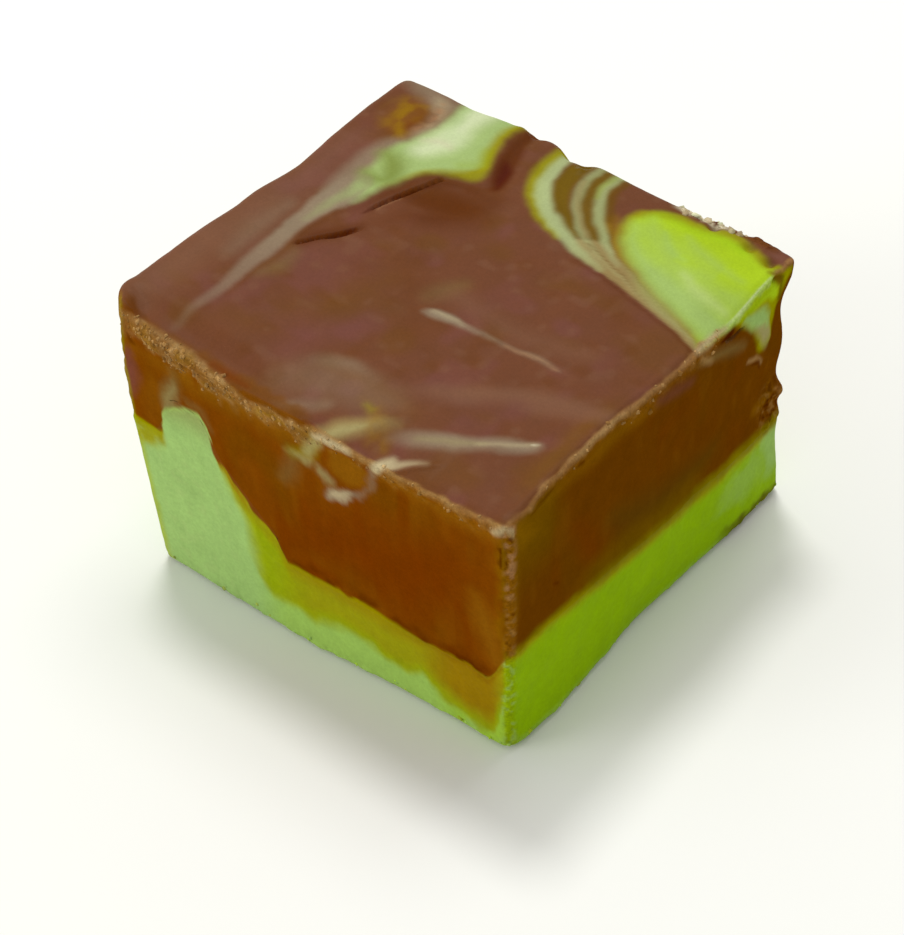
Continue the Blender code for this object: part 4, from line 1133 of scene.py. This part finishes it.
def scatterCrumbs(name, kind):
    skin, look, shapes = kind["skin"], crumbLook, crumbLook["shapes"]
    picker = np.random.default_rng(kind["seed"])
    weight = crumbWeights(name, kind)
    places = picker.choice(len(weight), kind["count"], p=weight)
    smallest, largest = kind["size"]
    sizes = [smallest + (largest - smallest) * picker.random() ** look["fewLarge"] for _ in places]
    bpy.ops.object.select_all(action="DESELECT")
    crumbs = []
    for i in range(len(places)):
        if i < shapes:
            bpy.ops.mesh.primitive_ico_sphere_add(subdivisions=1, radius=0.5)
            crumb = bpy.context.object
            bpy.ops.object.mode_set(mode="EDIT")
            bpy.ops.transform.vertex_random(
                offset=look["jagged"], uniform=1.0, normal=0.0, seed=kind["seed"] * 100 + i)
            bpy.ops.object.mode_set(mode="OBJECT")
        else:
            crumb = crumbs[i % shapes].copy()
            crumb.data = crumb.data.copy()
            bpy.context.collection.objects.link(crumb)
        crumbs.append(crumb)
    plain = [readPoints(crumb).copy() for crumb in crumbs[:shapes]]
    for i, (crumb, place, size) in enumerate(zip(crumbs, places, sizes)):
        angle, axis = picker.uniform(0, 6.28), Vector(picker.normal(size=3)).normalized()
        turn = np.array(Matrix.Rotation(angle, 3, axis))
        points = (plain[i % shapes] * picker.uniform(*look["stretch"], 3)) @ turn.T * size
        middle = skin["placed"][place] + skin["outward"][place] * size * -look["sunk"]
        writePoints(crumb, (middle + points) * mm)
        own = linear(palette[kind["colours"][picker.integers(len(kind["colours"]))]])
        colour = look["ownColour"] * own + (1 - look["ownColour"]) * skin["colours"][place]
        writeField(crumb, "fudgeColour", np.tile(colour * picker.uniform(*look["tone"]), (len(points), 1)))
        writeField(crumb, "crumbly", np.full(len(points), look["crumbly"]))
        crumb.select_set(True)
    bpy.context.view_layer.objects.active = crumbs[0]
    bpy.ops.object.join()
    bpy.ops.object.shade_smooth()
    piece = bpy.context.object
    piece.name = name
    piece.data.materials.append(kind["material"])
    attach(piece, "root")


for name, kind in crumbKinds.items():
    scatterCrumbs(name, kind)
print("crumbs scattered")

# Floor, light and camera. Lamps have a place (m), a size (m) and a power (W). The camera's
# angles are degrees, its distance and target mm.
studio = {
    "floor": "#f4f4ee", "floorSize": 4.0, "world": "#ffffff", "worldStrength": 0.52,
    "lamps": {
        "main": ((-0.198, 0.173, 0.745), 0.16, 2.46),
        "second": ((-0.016, 0.304, 0.74), 0.32, 1.18),
        "fill": ((-0.373, -0.501, 0.18), 0.36, 1.43),
    },
    "lampAim": (0, 0, 0.012),
    "azimuth": 40.5, "elevation": 45.3, "roll": -3.0, "distance": 174.5, "target": (2.34, -3.86, 10.01),
    "sensor": 36, "focal": 2400.0, "imageHeight": 935,
}
bpy.ops.object.select_all(action="DESELECT")
bpy.ops.mesh.primitive_plane_add(size=studio["floorSize"], location=(0, 0, 0))
floor = bpy.context.object
floor.name = "floor"
# matt white paper
floorMaterial = bpy.data.materials.new("white_paper")
floorMaterial.use_nodes = True
paper = floorMaterial.node_tree.nodes["Principled BSDF"]
paper.inputs["Base Color"].default_value = (*linear(studio["floor"]), 1)
paper.inputs["Roughness"].default_value = 0.9
paper.inputs["Specular IOR Level"].default_value = 0.1
floor.data.materials.append(floorMaterial)

world = bpy.data.worlds.new("room")
world.use_nodes = True
world.node_tree.nodes["Background"].inputs["Color"].default_value = (*linear(studio["world"]), 1)
world.node_tree.nodes["Background"].inputs["Strength"].default_value = studio["worldStrength"]
bpy.context.scene.world = world
for name, (place, size, power) in studio["lamps"].items():
    bpy.ops.object.light_add(type="AREA", location=place)
    lamp = bpy.context.object
    lamp.name = name
    lamp.data.shape = "DISK"
    lamp.data.size = size
    lamp.data.energy = power
    lamp.rotation_euler = (Vector(studio["lampAim"]) - Vector(place)).to_track_quat("-Z", "Y").to_euler()

turn, rise, roll = (math.radians(studio[name]) for name in ("azimuth", "elevation", "roll"))
back = Vector((math.sin(turn) * math.cos(rise), -math.cos(turn) * math.cos(rise), math.sin(rise)))
across = Vector((math.cos(turn), math.sin(turn), 0))
upward = back.cross(across)
across, upward = (across * math.cos(roll) + upward * math.sin(roll),
                  upward * math.cos(roll) - across * math.sin(roll))
place = (Vector(studio["target"]) + back * studio["distance"]) * mm
bpy.ops.object.camera_add(location=place)
camera = bpy.context.object
camera.matrix_world = Matrix((
    (across.x, upward.x, back.x, place.x),
    (across.y, upward.y, back.y, place.y),
    (across.z, upward.z, back.z, place.z),
    (0, 0, 0, 1)))
camera.data.sensor_fit = "VERTICAL"
camera.data.sensor_height = studio["sensor"]
camera.data.lens = studio["sensor"] * studio["focal"] / studio["imageHeight"]
camera.data.clip_start = 0.01
bpy.context.scene.camera = camera
bpy.context.scene.view_settings.view_transform = "Standard"
